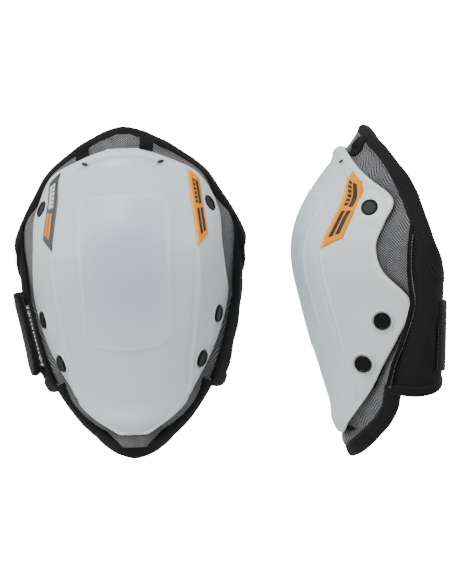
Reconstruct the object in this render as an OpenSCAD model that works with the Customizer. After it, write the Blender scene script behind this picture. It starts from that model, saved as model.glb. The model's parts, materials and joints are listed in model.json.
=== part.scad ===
// Pair of hard-cap knee pads.
// One pad faces -Y; the second is the same pad, turned about Z and set beside it.
// A pad's frame: X across the knee, -Y out of the cap, +Z towards the thigh,
// with the origin at mid height on its symmetry plane, where the kneecap sits.

/* [Pad] */
// Height of one pad over its edge binding
pad_height = 280; // [230:1:340]
// Width of one pad over its wings
pad_width = 192; // [160:1:232]
// Depth from the front of the cap to the back strap
pad_depth = 123; // [102:1:150]

/* [Cap] */
// Wall of the moulded cap
cap_wall = 3; // [2.4:0.1:3.6]
// Space between the cap's inner face and the mesh cover
cap_gap = 2; // [1.6:0.1:2.4]
// Thickness of the two side badges
badge_thick = 0.8; // [0.6:0.05:1]

/* [Snap fasteners] */
// Diameter of the snap caps, 24 line
snap_d = 15; // [12.5:0.1:18]
// Thickness of a snap cap
snap_thick = 2.2; // [1.8:0.1:2.7]
// Outside diameter of the spring socket in the cap's wall
socket_d = 10.2; // [8.8:0.1:12]
// Diameter of the stud head
stud_d = 4.6; // [3.9:0.1:5.6]
// How far the stud head stands above its flange
stud_height = 2.5; // [2.2:0.1:2.9]

/* [Padding] */
// Thickness of the padded base over the kneecap
pad_thick = 26; // [22:0.5:31]
// Thickness of the padded base at its edge
edge_thick = 9; // [7.5:0.1:10.8]
// Thickness of the mesh cover
cover_thick = 1.5; // [1.2:0.1:1.8]
// Thickness of the knee lining
lining_thick = 1.5; // [1.2:0.1:1.8]
// Thickness of the gel insert at its middle
gel_thick = 6; // [5:0.1:7.2]
// How far the edge binding stands out past the fabric edge
binding_reach = 8; // [6.6:0.1:9.6]

/* [Wings and strap] */
// Thickness of the wings
wing_thick = 5; // [4.2:0.1:6]
// Height of the elastic strap behind the knee
strap_height = 58; // [48:1:66]
// Height of the hook tab
tab_height = 68; // [60:1:76]
// Thickness of the strap and the tab
strap_thick = 2.8; // [2.3:0.1:3.4]
// Thickness of the loop panel and of the hook patch
pile_thick = 0.9; // [0.7:0.1:1.1]

/* [The pair] */
// Distance between the two pads' origins
pad_spacing = 200; // [195:1:240]
// How far the second pad is turned about Z
second_turn = -83; // [-95:1:-75]
// How far the second pad leans to its side
second_lean = 1.75; // [0:0.05:4]
// How much higher the second pad's origin is than the first's
second_lift = -6; // [-10:0.5:8]

/* [Hidden] */
PIECES = [
    "cap_shell", "snap_caps", "snap_sockets", "dark_badge", "orange_badge",
    "mesh_cover", "foam_core", "gel_insert", "inner_lining", "snap_studs", "snap_posts",
    "upper_binding", "lower_binding", "webbing_tabs",
    "left_wing", "right_wing", "left_hem", "right_hem", "loop_panel", "strap_anchor",
    "back_strap", "hook_tab", "hook_patch", "pull_strip"
];

// The stations below are drawn for a pad of this size and scaled to the one asked for.
drawn_height = 280;
drawn_width = 192;
drawn_depth = 123;
kx = pad_width / drawn_width;
ky = pad_depth / drawn_depth;
kz = pad_height / drawn_height;

// Cross-sections from the pad's top edge to its bottom edge, right half:
// height, centre line's depth, crease x and y, cap rim x and y, fabric edge x and y.
drawn_stations = [
    [135.5, -5, 3, -5, 6, -4.5, 10, -3.5],
    [127, -13, 12, -12, 20, -9, 28, 0.5],
    [122.5, -20, 10, -19, 13, -18, 37, 4],
    [117, -26, 24, -22, 29, -17, 45, 8],
    [106, -31, 46, -18, 54, -12, 60, 15],
    [96, -38.5, 55, -20, 65.5, -3, 69.5, 22],
    [80, -49, 56, -25.5, 74, 14.5, 77, 29],
    [62, -57.5, 58.5, -34, 79.5, 6.5, 85, 32],
    [42, -62, 61, -43.5, 80.5, -1, 87, 29],
    [20, -61.5, 61, -43.5, 82, 4.5, 87, 29],
    [-7, -55.5, 58.8, -37, 83, 28.5, 87, 31.5],
    [-35, -48.5, 55, -29, 75.5, 18, 80, 25],
    [-58, -41.5, 51.5, -22, 65.5, 7, 72, 17],
    [-80, -35, 48.5, -15, 53, -2, 64.5, 13],
    [-95, -30.5, 41, -15.5, 44.5, -11.5, 56, 12],
    [-108, -29.5, 26, -21, 30, -19, 46, 7],
    [-116.5, -26, 11, -22.5, 15, -22.5, 37, 1],
    [-119.5, -24, 5, -23, 7, -23, 33, -1],
    [-127, -22.5, 10, -21.5, 15, -18, 25, -7],
    [-135.5, -17.5, 4, -17.5, 7, -17, 10, -15.5]
];
stations = [for (r = drawn_stations)
    [r[0] * kz, r[1] * ky, r[2] * kx, r[3] * ky, r[4] * kx, r[5] * ky, r[6] * kx, r[7] * ky]];
last_station = len(stations) - 1;
cap_top = 2;
cap_bottom = 17;

// Wing sections, right side: height, widest x. The wing's sheet runs between
// the base's side edge and the back of the leg.
wing_bulge = [[62, 92], [30, 96], [10, 96.5], [-12, 94.5], [-35, 89.5], [-60, 83], [-92, 73]];
wing_end_y = 57 * ky;
wing_end_inset = 27 * kx;
wing_top = [60, 46, 29, 17, 12];
wing_bottom = [-76, -78, -76.5, -73, -69];

gap_skin = 0.1;
gap_seat = 0.1;
gap_moving = 0.4;
socket_hole_d = socket_d + 0.2;
socket_top = 1.2;
socket_bore_d = stud_d + 0.7;
rivet_d = 4;
flange_d = socket_d + 0.8;
flange_thick = 0.6;
washer_thick = 0.8;
pin_d = 2.6;
// Snap places on each side of the cap: station number, and how far from crease to rim.
snap_places = [[6.4, 0.64], [10.5, 0.7], [12.0, 0.50]];

function mix(a, b, t) = a + (b - a) * t;
function clamp01(t) = min(1, max(0, t));
function unit(v) = v / norm(v);
function curve(p0, p1, p2, p3, t) =
    0.5 * (2 * p1 + (p2 - p0) * t + (2 * p0 - 5 * p1 + 4 * p2 - p3) * t * t
    + (3 * p1 - p0 - 3 * p2 + p3) * t * t * t);
// A smooth curve through a list, at u counted in list places.
function along(list, u) =
    let (n = len(list) - 1, i = min(n - 1, max(0, floor(u))))
    curve(list[max(0, i - 1)], list[i], list[i + 1], list[min(n, i + 2)], u - i);
function bezier2(a, b, c, t) = mix(mix(a, b, t), mix(b, c, t), t);
function bezier3(a, b, c, d, t) = mix(bezier2(a, b, c, t), bezier2(b, c, d, t), t);

// The outer form at station u. s runs from 0 at the centre line through 1 at the crease
// and 2 at the cap's rim to 3 at the fabric edge; its sign is the side.
wall_turn_x = 0.60;
wall_turn_y = 0.40;
function half_section(r, a) =
    a <= 1 ? [r[2] * a, mix(r[1], r[3], a * a)]
    : a <= 2 ? bezier2([r[2], r[3]],
        [mix(r[2], r[4], wall_turn_x), mix(r[3], r[5], wall_turn_y)], [r[4], r[5]], a - 1)
    : mix([r[4], r[5]], [r[6], r[7]], a - 2);
function form(u, s) =
    let (r = along(stations, u), p = half_section(r, abs(s)))
    [sign(s) * p[0], p[1], r[0]];
step_u = 0.2;
step_s = 0.06;
function form_normal(u, s) =
    let (u0 = max(0, u - step_u), u1 = min(last_station, u + step_u),
         s0 = max(-2, s - step_s), s1 = min(2, s + step_s))
    unit(cross(form(u1, s) - form(u0, s), form(u, s1) - form(u, s0)));
// A point under the cap's outer face (depth is positive inwards).
function under_cap(u, s, depth) = form(u, s) - depth * form_normal(u, s);
// The padded base gets its thickness towards the leg: inwards from a point of the form.
leg_axis_y = 45 * ky;
leg_pull = 0.55;
function inward(p) = unit([0, leg_axis_y, leg_pull * p[2]] - p);
// A point under the padded base's front face: it lies under the cap,
// and comes out to the form itself at the fabric edge.
// A little more space right under the cap's rim.
rim_gap = 2.6;
function base_gap(u, s) = (cap_wall + cap_gap + rim_gap * clamp01(2 * abs(s) - 3)) * clamp01(3 - abs(s))
    * clamp01(u / cap_top) * clamp01((last_station - u) / (last_station - cap_bottom));
function under_base(u, s, depth) =
    let (p = form(u, s)) p + (base_gap(u, s) + depth) * inward(p);
function base_thick(u, s) =
    mix(edge_thick, pad_thick, pow(sin(180 * u / last_station), 0.7) * (1 - pow(abs(s) / 3, 2)));

// Closed sheet between two grids of points with the same rows and columns.
module sheet(front, back) {
    rows = len(front);
    cols = len(front[0]);
    count = rows * cols;
    function at(i, j) = i * cols + j;
    points = [for (g = [front, back], row = g, p = row) p];
    function quad(a, b, c, d) = [[a, b, c], [a, c, d]];
    faces = [
        for (i = [0 : rows - 2], j = [0 : cols - 2])
            each quad(at(i, j), at(i, j + 1), at(i + 1, j + 1), at(i + 1, j)),
        for (i = [0 : rows - 2], j = [0 : cols - 2])
            each quad(count + at(i, j), count + at(i + 1, j), count + at(i + 1, j + 1), count + at(i, j + 1)),
        for (i = [0 : rows - 2])
            each quad(at(i, 0), at(i + 1, 0), count + at(i + 1, 0), count + at(i, 0)),
        for (i = [0 : rows - 2], j = [cols - 1])
            each quad(at(i, j), count + at(i, j), count + at(i + 1, j), at(i + 1, j)),
        for (j = [0 : cols - 2])
            each quad(at(0, j), count + at(0, j), count + at(0, j + 1), at(0, j + 1)),
        for (j = [0 : cols - 2], i = [rows - 1])
            each quad(at(i, j), at(i, j + 1), count + at(i, j + 1), count + at(i, j))
    ];
    polyhedron(points, faces);
}

// Closed tube through rings of points with the same count.
module tube(rings) {
    n = len(rings);
    m = len(rings[0]);
    points = [for (ring = rings, p = ring) p];
    faces = [
        for (i = [0 : n - 2], j = [0 : m - 1])
            let (a = i * m + j, b = i * m + (j + 1) % m)
            each [[a, b, b + m], [a, b + m, a + m]],
        for (j = [1 : m - 2]) [0, j + 1, j],
        for (j = [1 : m - 2]) [(n - 1) * m, (n - 1) * m + j, (n - 1) * m + j + 1]
    ];
    polyhedron(points, faces);
}

// Stands child shapes on the cap's outer face: their +Z is the way out.
module on_cap(u, s) {
    p = form(u, s);
    n = form_normal(u, s);
    translate(p) rotate([0, acos(n[2]), atan2(n[1], n[0])]) children();
}
module at_snaps() {
    for (side = [-1, 1], k = snap_places) on_cap(k[0], side * (1 + k[1])) children();
}

// ---------------------------------------------------------------- cap

cap_rows = [for (k = [0 : (cap_bottom - cap_top) * 2]) cap_top + k / 2];
cap_cols = [for (k = [-8 : 8]) k / 4];
module cap_shell() {
    color([0.74, 0.79, 0.81]) difference() {
        sheet([for (u = cap_rows) [for (s = cap_cols) form(u, s)]],
            [for (u = cap_rows) [for (s = cap_cols) under_cap(u, s, cap_wall)]]);
        at_snaps() translate([0, 0, -cap_wall - 3]) cylinder(d = socket_hole_d, h = cap_wall + 6, $fn = 48);
    }
}

module snap_caps() {
    rim = 1.6;
    dish = 0.7;
    color([0.05, 0.05, 0.06]) at_snaps() translate([0, 0, gap_seat]) rotate_extrude($fn = 64)
        polygon([
            [0, -socket_top + 0.1], [rivet_d / 2, -socket_top + 0.1], [rivet_d / 2, 0],
            [snap_d / 2 - 0.4, 0], [snap_d / 2, 0.5], [snap_d / 2 - 0.2, snap_thick - 0.7],
            [snap_d / 2 - rim / 2, snap_thick], [snap_d / 2 - rim, snap_thick - 0.2],
            [snap_d / 2 - rim - 0.5, snap_thick - dish], [0, snap_thick - dish]
        ]);
}

module snap_sockets() {
    color([0.55, 0.55, 0.56]) at_snaps() difference() {
        translate([0, 0, -cap_wall]) cylinder(d = socket_d, h = cap_wall - gap_seat, $fn = 48);
        translate([0, 0, -cap_wall - 1]) cylinder(d = socket_bore_d, h = cap_wall - socket_top + 1, $fn = 48);
        translate([0, 0, -cap_wall]) cylinder(d = rivet_d + 0.1, h = cap_wall + 1, $fn = 48);
    }
}

// Badge on the cap's side wall: a slanted plate between crease and rim.
// Its corners as x and z seen from the front: top inner, top outer, bottom inner, bottom outer.
badge_corners = [[53, 104], [63, 95], [61, 39], [69.5, 48]];
badge_lift = 0.4;
station_down = [for (k = [last_station : -1 : 0]) [stations[k][0], k]];
// The wall's x runs as 1.2 t - 0.2 t^2 of its width; this is that curve turned round.
function wall_share(r, x) = 3 - sqrt(9 - 5 * min(1, max(0, (x - r[2]) / (r[4] - r[2]))));
module badge(side) {
    rows = [for (k = [0 : 14]) k / 14];
    cols = [0, 0.25, 0.5, 0.75, 1];
    function spot(a, b) =
        let (p = mix(mix(badge_corners[0], badge_corners[2], a), mix(badge_corners[1], badge_corners[3], a), b),
             u = lookup(p[1] * kz, station_down))
        [u, side * (1 + wall_share(along(stations, u), p[0] * kx))];
    function grid(depth) = [for (a = rows) [for (b = cols)
        let (p = spot(a, side > 0 ? b : 1 - b)) under_cap(p[0], p[1], depth)]];
    sheet(grid(-badge_lift - badge_thick), grid(-badge_lift));
}
module dark_badge() { color([0.24, 0.24, 0.25]) badge(-1); }
module orange_badge() { color([0.97, 0.66, 0.08]) badge(1); }

// ---------------------------------------------------------------- padded base

base_rows = [for (k = [0 : last_station]) k];
base_cols = [-3, -2.5, -2, -1.5, -1, -0.67, -0.33, 0, 0.33, 0.67, 1, 1.5, 2, 2.5, 3];
gel_rows = [6 : 12];
gel_cols = [4 : 10];
function gel_share(u, s) = (1 - pow((u - 9) / 3.6, 2)) * (1 - pow(s / 1.2, 2));
function gel_depth(u, s) = max(0.4, gel_thick * gel_share(u, s));
function in_gel(i, j) = i >= 6 && i <= 12 && j >= 4 && j <= 10;
function base_grid(depths) = [for (i = [0 : last_station]) [for (j = [0 : len(base_cols) - 1])
    under_base(i, base_cols[j], depths[i][j])]];
function base_depths(share, fixed) = [for (u = base_rows) [for (s = base_cols)
    share * base_thick(u, s) + fixed]];

module mesh_cover() {
    color([0.38, 0.38, 0.39]) sheet(base_grid(base_depths(0, 0)), base_grid(base_depths(0, cover_thick)));
}
module foam_core() {
    back = [for (i = [0 : last_station]) [for (j = [0 : len(base_cols) - 1])
        let (u = i, s = base_cols[j])
        base_thick(u, s) - lining_thick - gap_skin - (in_gel(i, j) ? gel_depth(u, s) + gap_skin : 0)]];
    color([0.3, 0.3, 0.34]) sheet(base_grid(base_depths(0, cover_thick + gap_skin)), base_grid(back));
}
module gel_insert() {
    function grid(k) = [for (i = gel_rows) [for (j = gel_cols)
        let (u = i, s = base_cols[j])
        under_base(u, s, base_thick(u, s) - lining_thick - gap_skin - k * gel_depth(u, s))]];
    color([0.25, 0.45, 0.75]) sheet(grid(1), grid(0));
}
module inner_lining() {
    color([0.12, 0.12, 0.12]) sheet(base_grid(base_depths(1, -lining_thick)), base_grid(base_depths(1, 0)));
}

// Studs on the cover, and the washers and pins that clench them from behind.
module snap_studs() {
    color([0.55, 0.55, 0.56]) at_snaps() translate([0, 0, -cap_wall - cap_gap]) difference() {
        union() {
            cylinder(d = flange_d, h = flange_thick, $fn = 48);
            cylinder(d = stud_d, h = flange_thick + stud_height, $fn = 48);
        }
        translate([0, 0, -1]) cylinder(d = pin_d + 0.1, h = 1 + flange_thick + stud_height - 0.5, $fn = 32);
    }
}
module snap_posts() {
    color([0.5, 0.5, 0.5]) at_snaps() translate([0, 0, -cap_wall - cap_gap - cover_thick]) union() {
        translate([0, 0, -washer_thick]) cylinder(d = flange_d, h = washer_thick, $fn = 48);
        cylinder(d = pin_d, h = cover_thick + flange_thick + stud_height - 0.6, $fn = 32);
    }
}

// Short webbing tabs from the edge binding to behind the cap's top rim.
webbing_w = 11;
webbing_thick = 1;
function share_at(u, x) =
    let (r = along(stations, u), a = abs(x))
    sign(x) * (a < r[2] ? a / r[2] : a < r[4] ? 1 + (a - r[2]) / (r[4] - r[2])
        : min(3, 2 + (a - r[4]) / (r[6] - r[4])));
module webbing(x, start, stop) {
    rows = [for (k = [0 : 4]) mix(start, stop, k / 4)];
    function grid(depth) = [for (u = rows) [for (e = [-0.5, 0.5])
        under_base(u, share_at(u, x + e * webbing_w), depth)]];
    sheet(grid(-webbing_thick - gap_skin), grid(-gap_skin));
}
module webbing_tabs() {
    color([0.08, 0.08, 0.08]) {
        webbing(-36 * kx, 2.1, 3.5);
        webbing(20 * kx, 0.7, 2.6);
    }
}

// ---------------------------------------------------------------- edge binding

// One ring of a binding: centre, way out from the fabric edge, way through it, half sizes.
ring_sides = 8;
function bind_ring(c, out, through, reach, half) = [for (k = [0 : ring_sides - 1])
    c + out * (reach / 2 * cos(360 * k / ring_sides)) + through * (half * sin(360 * k / ring_sides))];
// The padded base's edge at station u: middle of its thickness, and its two directions.
function edge_mid(u, side) = under_base(u, side * 3, edge_thick / 2);
function edge_through(u, side) = -inward(form(u, side * 3));
function edge_out(u, side) =
    let (a = edge_mid(max(0, u - step_u), side), b = edge_mid(min(last_station, u + step_u), side),
         w = unit(cross(b - a, edge_through(u, side))))
    side > 0 ? -w : w;
function edge_ring(u, side) =
    let (out = edge_out(u, side))
    bind_ring(edge_mid(u, side) + out * (binding_reach / 2 + gap_skin), out,
        edge_through(u, side), binding_reach, edge_thick / 2 + 1);
function cap_ring(u, way) =
    let (out = [0, 0, way], p = edge_mid(u, 1))
    bind_ring([0, p[1], p[2]] + out * (binding_reach / 2 + gap_skin + 0.4), out,
        [0, -1, 0], binding_reach, edge_thick / 2 + 1);
// Outer wing sheet: a runs from the front seam to the back end, b from top to bottom.
function bulge_at(z) = lookup(z / kz, wing_bulge_down) * kx;
wing_bulge_down = [for (k = [len(wing_bulge) - 1 : -1 : 0]) wing_bulge[k]];
edge_x_down = [for (k = [last_station : -1 : 0]) [stations[k][0], stations[k][6]]];
edge_y_down = [for (k = [last_station : -1 : 0]) [stations[k][0], stations[k][7]]];
seam_gap = 0.3;
function wing_outer(a, b) =
    let (z = mix(along(wing_top, a * 4), along(wing_bottom, a * 4), b) * kz,
         m = bulge_at(z),
         p0 = [lookup(z, edge_x_down) + seam_gap, lookup(z, edge_y_down) + seam_gap],
         p = bezier3(p0, [m + 3 * kx, 38 * ky], [m + 3 * kx, wing_end_y + 1 * ky],
            [m - wing_end_inset, wing_end_y], a))
    [p[0], p[1], z];
function wing_normal(a, b) =
    let (a0 = max(0, a - 0.03), a1 = min(1, a + 0.03), b0 = max(0, b - 0.03), b1 = min(1, b + 0.03))
    unit(cross(wing_outer(a, b1) - wing_outer(a, b0), wing_outer(a1, b) - wing_outer(a0, b)));
function wing_point(a, b, depth) = wing_outer(a, b) - depth * wing_normal(a, b);
function flip(p, side) = [side * p[0], p[1], p[2]];
function wing_edge_ring(a, b, side) =
    let (n = wing_normal(a, b), t = wing_outer(min(1, a + 0.02), b) - wing_outer(max(0, a - 0.02), b),
         out = unit(cross(n, t)) * (b > 0.5 ? -1 : 1),
         c = wing_point(a, b, wing_thick / 2) + out * (binding_reach / 2 + gap_skin),
         ring = bind_ring(c, out, n * (b > 0.5 ? -1 : 1), binding_reach, wing_thick / 2 + 1))
    [for (p = ring) flip(p, side)];

upper_edge_end = 6.4;
wing_edge_places = [0.3, 0.42, 0.56, 0.7, 0.84, 0.97];
module upper_binding() {
    edge_places = [for (k = [0 : 12]) mix(upper_edge_end, 0.35, k / 12)];
    color([0.1, 0.1, 0.1]) tube(concat(
        [for (k = [5 : -1 : 0]) wing_edge_ring(wing_edge_places[k], 0, 1)],
        [for (u = edge_places) edge_ring(u, 1)],
        [cap_ring(0, 1)],
        [for (k = [12 : -1 : 0]) edge_ring(edge_places[k], -1)],
        [for (a = wing_edge_places) wing_edge_ring(a, 0, -1)]
    ));
}
lower_edge_start = 13.7;
module lower_binding() {
    edge_places = [for (k = [0 : 10]) mix(lower_edge_start, last_station - 0.35, k / 10)];
    color([0.1, 0.1, 0.1]) tube(concat(
        [for (u = edge_places) edge_ring(u, -1)],
        [cap_ring(last_station, -1)],
        [for (k = [10 : -1 : 0]) edge_ring(edge_places[k], 1)]
    ));
}

// ---------------------------------------------------------------- wings

wing_a = [for (k = [0 : 12]) k / 12];
wing_b = [for (k = [0 : 5]) k / 5];
module wing(side) {
    function grid(depth) = [for (b = wing_b) [for (a = side > 0 ? wing_a : [for (k = [12 : -1 : 0]) k / 12])
        flip(wing_point(a, b, depth), side)]];
    sheet(grid(0), grid(wing_thick));
}
module left_wing() { color([0.13, 0.13, 0.13]) wing(-1); }
module right_wing() { color([0.13, 0.13, 0.13]) wing(1); }
module hem(side) {
    places = side > 0 ? steps(0.98, 0.03, 10) : steps(0.03, 0.98, 10);
    tube([for (a = places) wing_edge_ring(a, 1, side)]);
}
module left_hem() { color([0.1, 0.1, 0.1]) hem(-1); }
module right_hem() { color([0.1, 0.1, 0.1]) hem(1); }

// ---------------------------------------------------------------- closure

// Bands on the wings lie between two heights, measured along the wing.
strap_mid_z = -34 * kz;
function b_at(a, z) =
    let (top = along(wing_top, a * 4) * kz, bottom = along(wing_bottom, a * 4) * kz)
    (top - z) / (top - bottom);
function on_wing(a, z, lift) = wing_point(a, b_at(a, z), -lift);
band_rows = [0, 0.25, 0.5, 0.75, 1];
function band_grid(places, height, lift, side) = [for (r = band_rows) [for (a = places)
    flip(on_wing(a, strap_mid_z + height * (0.5 - r), lift), side)]];
tab_from = 0.10;
tab_to = 0.93;
tab_lift = 2 * pile_thick + gap_moving;
function steps(a, b, n) = [for (k = [0 : n]) mix(a, b, k / n)];

module loop_panel() {
    color([0.16, 0.16, 0.16]) sheet(
        band_grid(steps(0.88, 0.14, 9), tab_height - 4, pile_thick, -1),
        band_grid(steps(0.88, 0.14, 9), tab_height - 4, 0.05, -1));
}
module hook_patch() {
    color([0.06, 0.06, 0.06]) sheet(
        band_grid(steps(0.6, 0.14, 6), tab_height - 8, tab_lift - 0.05, -1),
        band_grid(steps(0.6, 0.14, 6), tab_height - 8, pile_thick + gap_moving, -1));
}
module hook_tab() {
    color([0.1, 0.1, 0.1]) sheet(
        band_grid(steps(tab_to, tab_from, 10), tab_height, tab_lift + strap_thick, -1),
        band_grid(steps(tab_to, tab_from, 10), tab_height, tab_lift, -1));
}
module pull_strip() {
    color([0.3, 0.3, 0.3]) sheet(
        band_grid(steps(0.26, 0.13, 3), tab_height - 16, tab_lift + strap_thick + 0.9, -1),
        band_grid(steps(0.26, 0.13, 3), tab_height - 16, tab_lift + strap_thick + 0.05, -1));
}
module strap_anchor() {
    color([0.14, 0.14, 0.14]) sheet(
        band_grid(steps(0.62, 0.93, 5), strap_height, tab_lift + strap_thick, 1),
        band_grid(steps(0.62, 0.93, 5), strap_height, 0.05, 1));
}
// The strap crosses behind the knee, from fold line to fold line.
fold_a = 0.97;
strap_sag = 1.5;
function strap_point(t, z, lift) =
    let (r = on_wing(fold_a, z, lift), l = flip(r, -1), p = mix(r, l, t))
    [p[0], p[1] + strap_sag * 4 * t * (1 - t), z];
module back_strap() {
    function grid(lift) = [for (r = band_rows) [for (t = steps(0, 1, 10))
        strap_point(t, strap_mid_z + strap_height * (0.5 - r), lift)]];
    color([0.14, 0.14, 0.14]) sheet(grid(tab_lift + strap_thick), grid(tab_lift));
}

// ---------------------------------------------------------------- the pair

module place(pad) {
    if (pad == "second")
        translate([pad_spacing, 0, second_lift]) rotate([0, second_lean, 0])
            rotate([0, 0, second_turn]) children();
    else children();
}
module piece(name) {
    if (name == "cap_shell") cap_shell();
    if (name == "snap_caps") snap_caps();
    if (name == "snap_sockets") snap_sockets();
    if (name == "dark_badge") dark_badge();
    if (name == "orange_badge") orange_badge();
    if (name == "mesh_cover") mesh_cover();
    if (name == "foam_core") foam_core();
    if (name == "gel_insert") gel_insert();
    if (name == "inner_lining") inner_lining();
    if (name == "snap_studs") snap_studs();
    if (name == "snap_posts") snap_posts();
    if (name == "upper_binding") upper_binding();
    if (name == "lower_binding") lower_binding();
    if (name == "webbing_tabs") webbing_tabs();
    if (name == "left_wing") left_wing();
    if (name == "right_wing") right_wing();
    if (name == "left_hem") left_hem();
    if (name == "right_hem") right_hem();
    if (name == "loop_panel") loop_panel();
    if (name == "strap_anchor") strap_anchor();
    if (name == "back_strap") back_strap();
    if (name == "hook_tab") hook_tab();
    if (name == "hook_patch") hook_patch();
    if (name == "pull_strip") pull_strip();
}
for (pad = ["first", "second"], name = PIECES)
    place(pad) piece(name);
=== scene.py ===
import json
import math

import bpy
import numpy as np
from mathutils import Matrix, Vector


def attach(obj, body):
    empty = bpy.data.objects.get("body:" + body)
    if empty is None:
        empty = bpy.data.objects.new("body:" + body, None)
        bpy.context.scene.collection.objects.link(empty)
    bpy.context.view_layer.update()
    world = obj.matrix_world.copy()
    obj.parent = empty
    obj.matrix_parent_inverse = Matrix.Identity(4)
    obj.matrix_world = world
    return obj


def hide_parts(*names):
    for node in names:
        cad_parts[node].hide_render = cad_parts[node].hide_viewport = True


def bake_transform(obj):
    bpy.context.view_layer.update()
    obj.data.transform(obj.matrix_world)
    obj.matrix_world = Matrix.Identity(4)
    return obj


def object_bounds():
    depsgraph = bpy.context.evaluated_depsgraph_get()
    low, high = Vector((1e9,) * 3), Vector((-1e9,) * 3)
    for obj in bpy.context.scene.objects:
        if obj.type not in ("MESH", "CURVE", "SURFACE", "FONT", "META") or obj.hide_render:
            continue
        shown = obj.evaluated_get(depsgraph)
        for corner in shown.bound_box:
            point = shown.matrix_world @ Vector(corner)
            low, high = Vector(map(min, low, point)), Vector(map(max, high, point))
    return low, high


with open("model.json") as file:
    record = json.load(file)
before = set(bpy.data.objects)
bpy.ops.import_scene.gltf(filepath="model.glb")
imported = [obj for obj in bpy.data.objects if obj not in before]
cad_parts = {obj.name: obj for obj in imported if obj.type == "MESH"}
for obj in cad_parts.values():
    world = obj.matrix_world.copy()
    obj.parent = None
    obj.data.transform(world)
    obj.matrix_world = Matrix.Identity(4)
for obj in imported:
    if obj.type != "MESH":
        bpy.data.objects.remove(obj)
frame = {"nodes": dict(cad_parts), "record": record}
cad_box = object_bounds()

# ---------------------------------------------------------------- the studio
# White all round: the surround gives even light from every side and looks pure white itself,
# and so does the lit table top under the pads. One broad soft light stands above, and two
# weaker ones fill the sides.

MM = 0.001
table_drop = 1.0
table_half = 5.0
glow_strength = 15.0
lowest = cad_box[0][2] - table_drop * MM
middle = Vector((82 * MM, 0, -3 * MM))


def rgb(code):
    """Linear colour from an sRGB hex value."""
    parts = [int(code[i:i + 2], 16) / 255 for i in (0, 2, 4)]
    linear = [p / 12.92 if p <= 0.04045 else ((p + 0.055) / 1.055) ** 2.4 for p in parts]
    return (*linear, 1.0)


def add_node(tree, kind, settings=None, stops=(), **links):
    """A new node. settings are its properties, and stops a colour ramp's (position, hex) pairs.
    links are its inputs, as values or sockets: _0 is the first, Base_Color the one so named."""
    made = tree.nodes.new(kind)
    for key, value in (settings or {}).items():
        setattr(made, key, value)
    for k, (position, code) in enumerate(stops):
        elements = made.color_ramp.elements
        stop = elements[k] if k < len(elements) else elements.new(position)
        stop.position = position
        stop.color = rgb(code)
    for key, value in links.items():
        socket = made.inputs[int(key[1:])] if key[1:].isdigit() else made.inputs[key.replace("_", " ")]
        if isinstance(value, bpy.types.NodeSocket):
            tree.links.new(value, socket)
        else:
            socket.default_value = value
    return made


def new_material(name, colour, roughness, **sockets):
    """A Principled material, with its tree, its shader and its own plain values set."""
    made = bpy.data.materials.new(name)
    made.use_nodes = True
    made.diffuse_color = rgb(colour)
    shader = made.node_tree.nodes["Principled BSDF"]
    shader.inputs["Base Color"].default_value = rgb(colour)
    shader.inputs["Roughness"].default_value = roughness
    for key, value in sockets.items():
        shader.inputs[key.replace("_", " ")].default_value = value
    return made, made.node_tree, shader


floor_mesh = bpy.data.meshes.new("studio_floor")
corners = [(x * table_half, y * table_half, lowest) for x, y in ((-1, -1), (1, -1), (1, 1), (-1, 1))]
floor_mesh.from_pydata(corners, [], [(0, 1, 2, 3)])
floor = bpy.data.objects.new("studio_floor", floor_mesh)
bpy.context.scene.collection.objects.link(floor)
# Cast white acrylic, lit from below: it glows so brightly that no shadow shows on it. It is
# left out of the pads' own light, which comes from the surround and the lamps.
acrylic, _, _ = new_material("Lit white acrylic", "FAFAFA", 0.9, Emission_Strength=glow_strength,
                             Emission_Color=rgb("FFFFFF"))
floor_mesh.materials.append(acrylic)
floor.visible_diffuse = False
floor.visible_glossy = False

world = bpy.data.worlds.new("studio")
world.use_nodes = True
bpy.context.scene.world = world
surround = world.node_tree.nodes["Background"]
surround.inputs["Color"].default_value = (1.0, 1.0, 1.0, 1.0)
seen = add_node(world.node_tree, "ShaderNodeLightPath").outputs["Is Camera Ray"]
glow = add_node(world.node_tree, "ShaderNodeMath", {"operation": "MULTIPLY_ADD"},
                _0=seen, _1=glow_strength, _2=0.8)
world.node_tree.links.new(glow.outputs[0], surround.inputs["Strength"])


def area_light(name, place, power, size):
    """A square soft light that looks at the pads."""
    data = bpy.data.lights.new(name, "AREA")
    data.energy = power
    data.size = size
    made = bpy.data.objects.new(name, data)
    made.location = place
    made.rotation_euler = (middle - Vector(place)).to_track_quat("-Z", "Y").to_euler()
    bpy.context.scene.collection.objects.link(made)


area_light("key_light", (-0.35, -1.3, 1.5), 26.0, 0.9)
area_light("left_fill", (-1.6, -0.9, 0.3), 9.0, 0.8)
area_light("right_fill", (1.9, -0.5, 0.5), 9.0, 0.8)

azimuth = math.radians(2.0)
elevation = math.radians(3.5)
roll = math.radians(2.3)
distance = 4.0
camera_data = bpy.data.cameras.new("camera")
camera_data.lens = 375.0
camera_data.sensor_width = 36.0
camera_data.clip_end = 50.0
camera_data.sensor_fit = "HORIZONTAL"
camera = bpy.data.objects.new("camera", camera_data)
towards = Vector((math.sin(azimuth) * math.cos(elevation), -math.cos(azimuth) * math.cos(elevation),
                  math.sin(elevation)))
camera.location = middle + towards * distance
look = towards.to_track_quat("Z", "Y").to_matrix().to_4x4()
camera.matrix_world = Matrix.Translation(camera.location) @ look @ Matrix.Rotation(-roll, 4, "Z")
bpy.context.scene.collection.objects.link(camera)
bpy.context.scene.camera = camera

# ---------------------------------------------------------------- the moulded cap
# The hard cap is one injection-moulded shell of milky, non-marring plastic with a 3 mm wall.
# It has a rolled rim, a step below the top rim, a raised line round the knee panel,
# a rib down each side and a lobe round each upper snap. It rides on the cap body.

PADS = ("first", "second")

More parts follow.
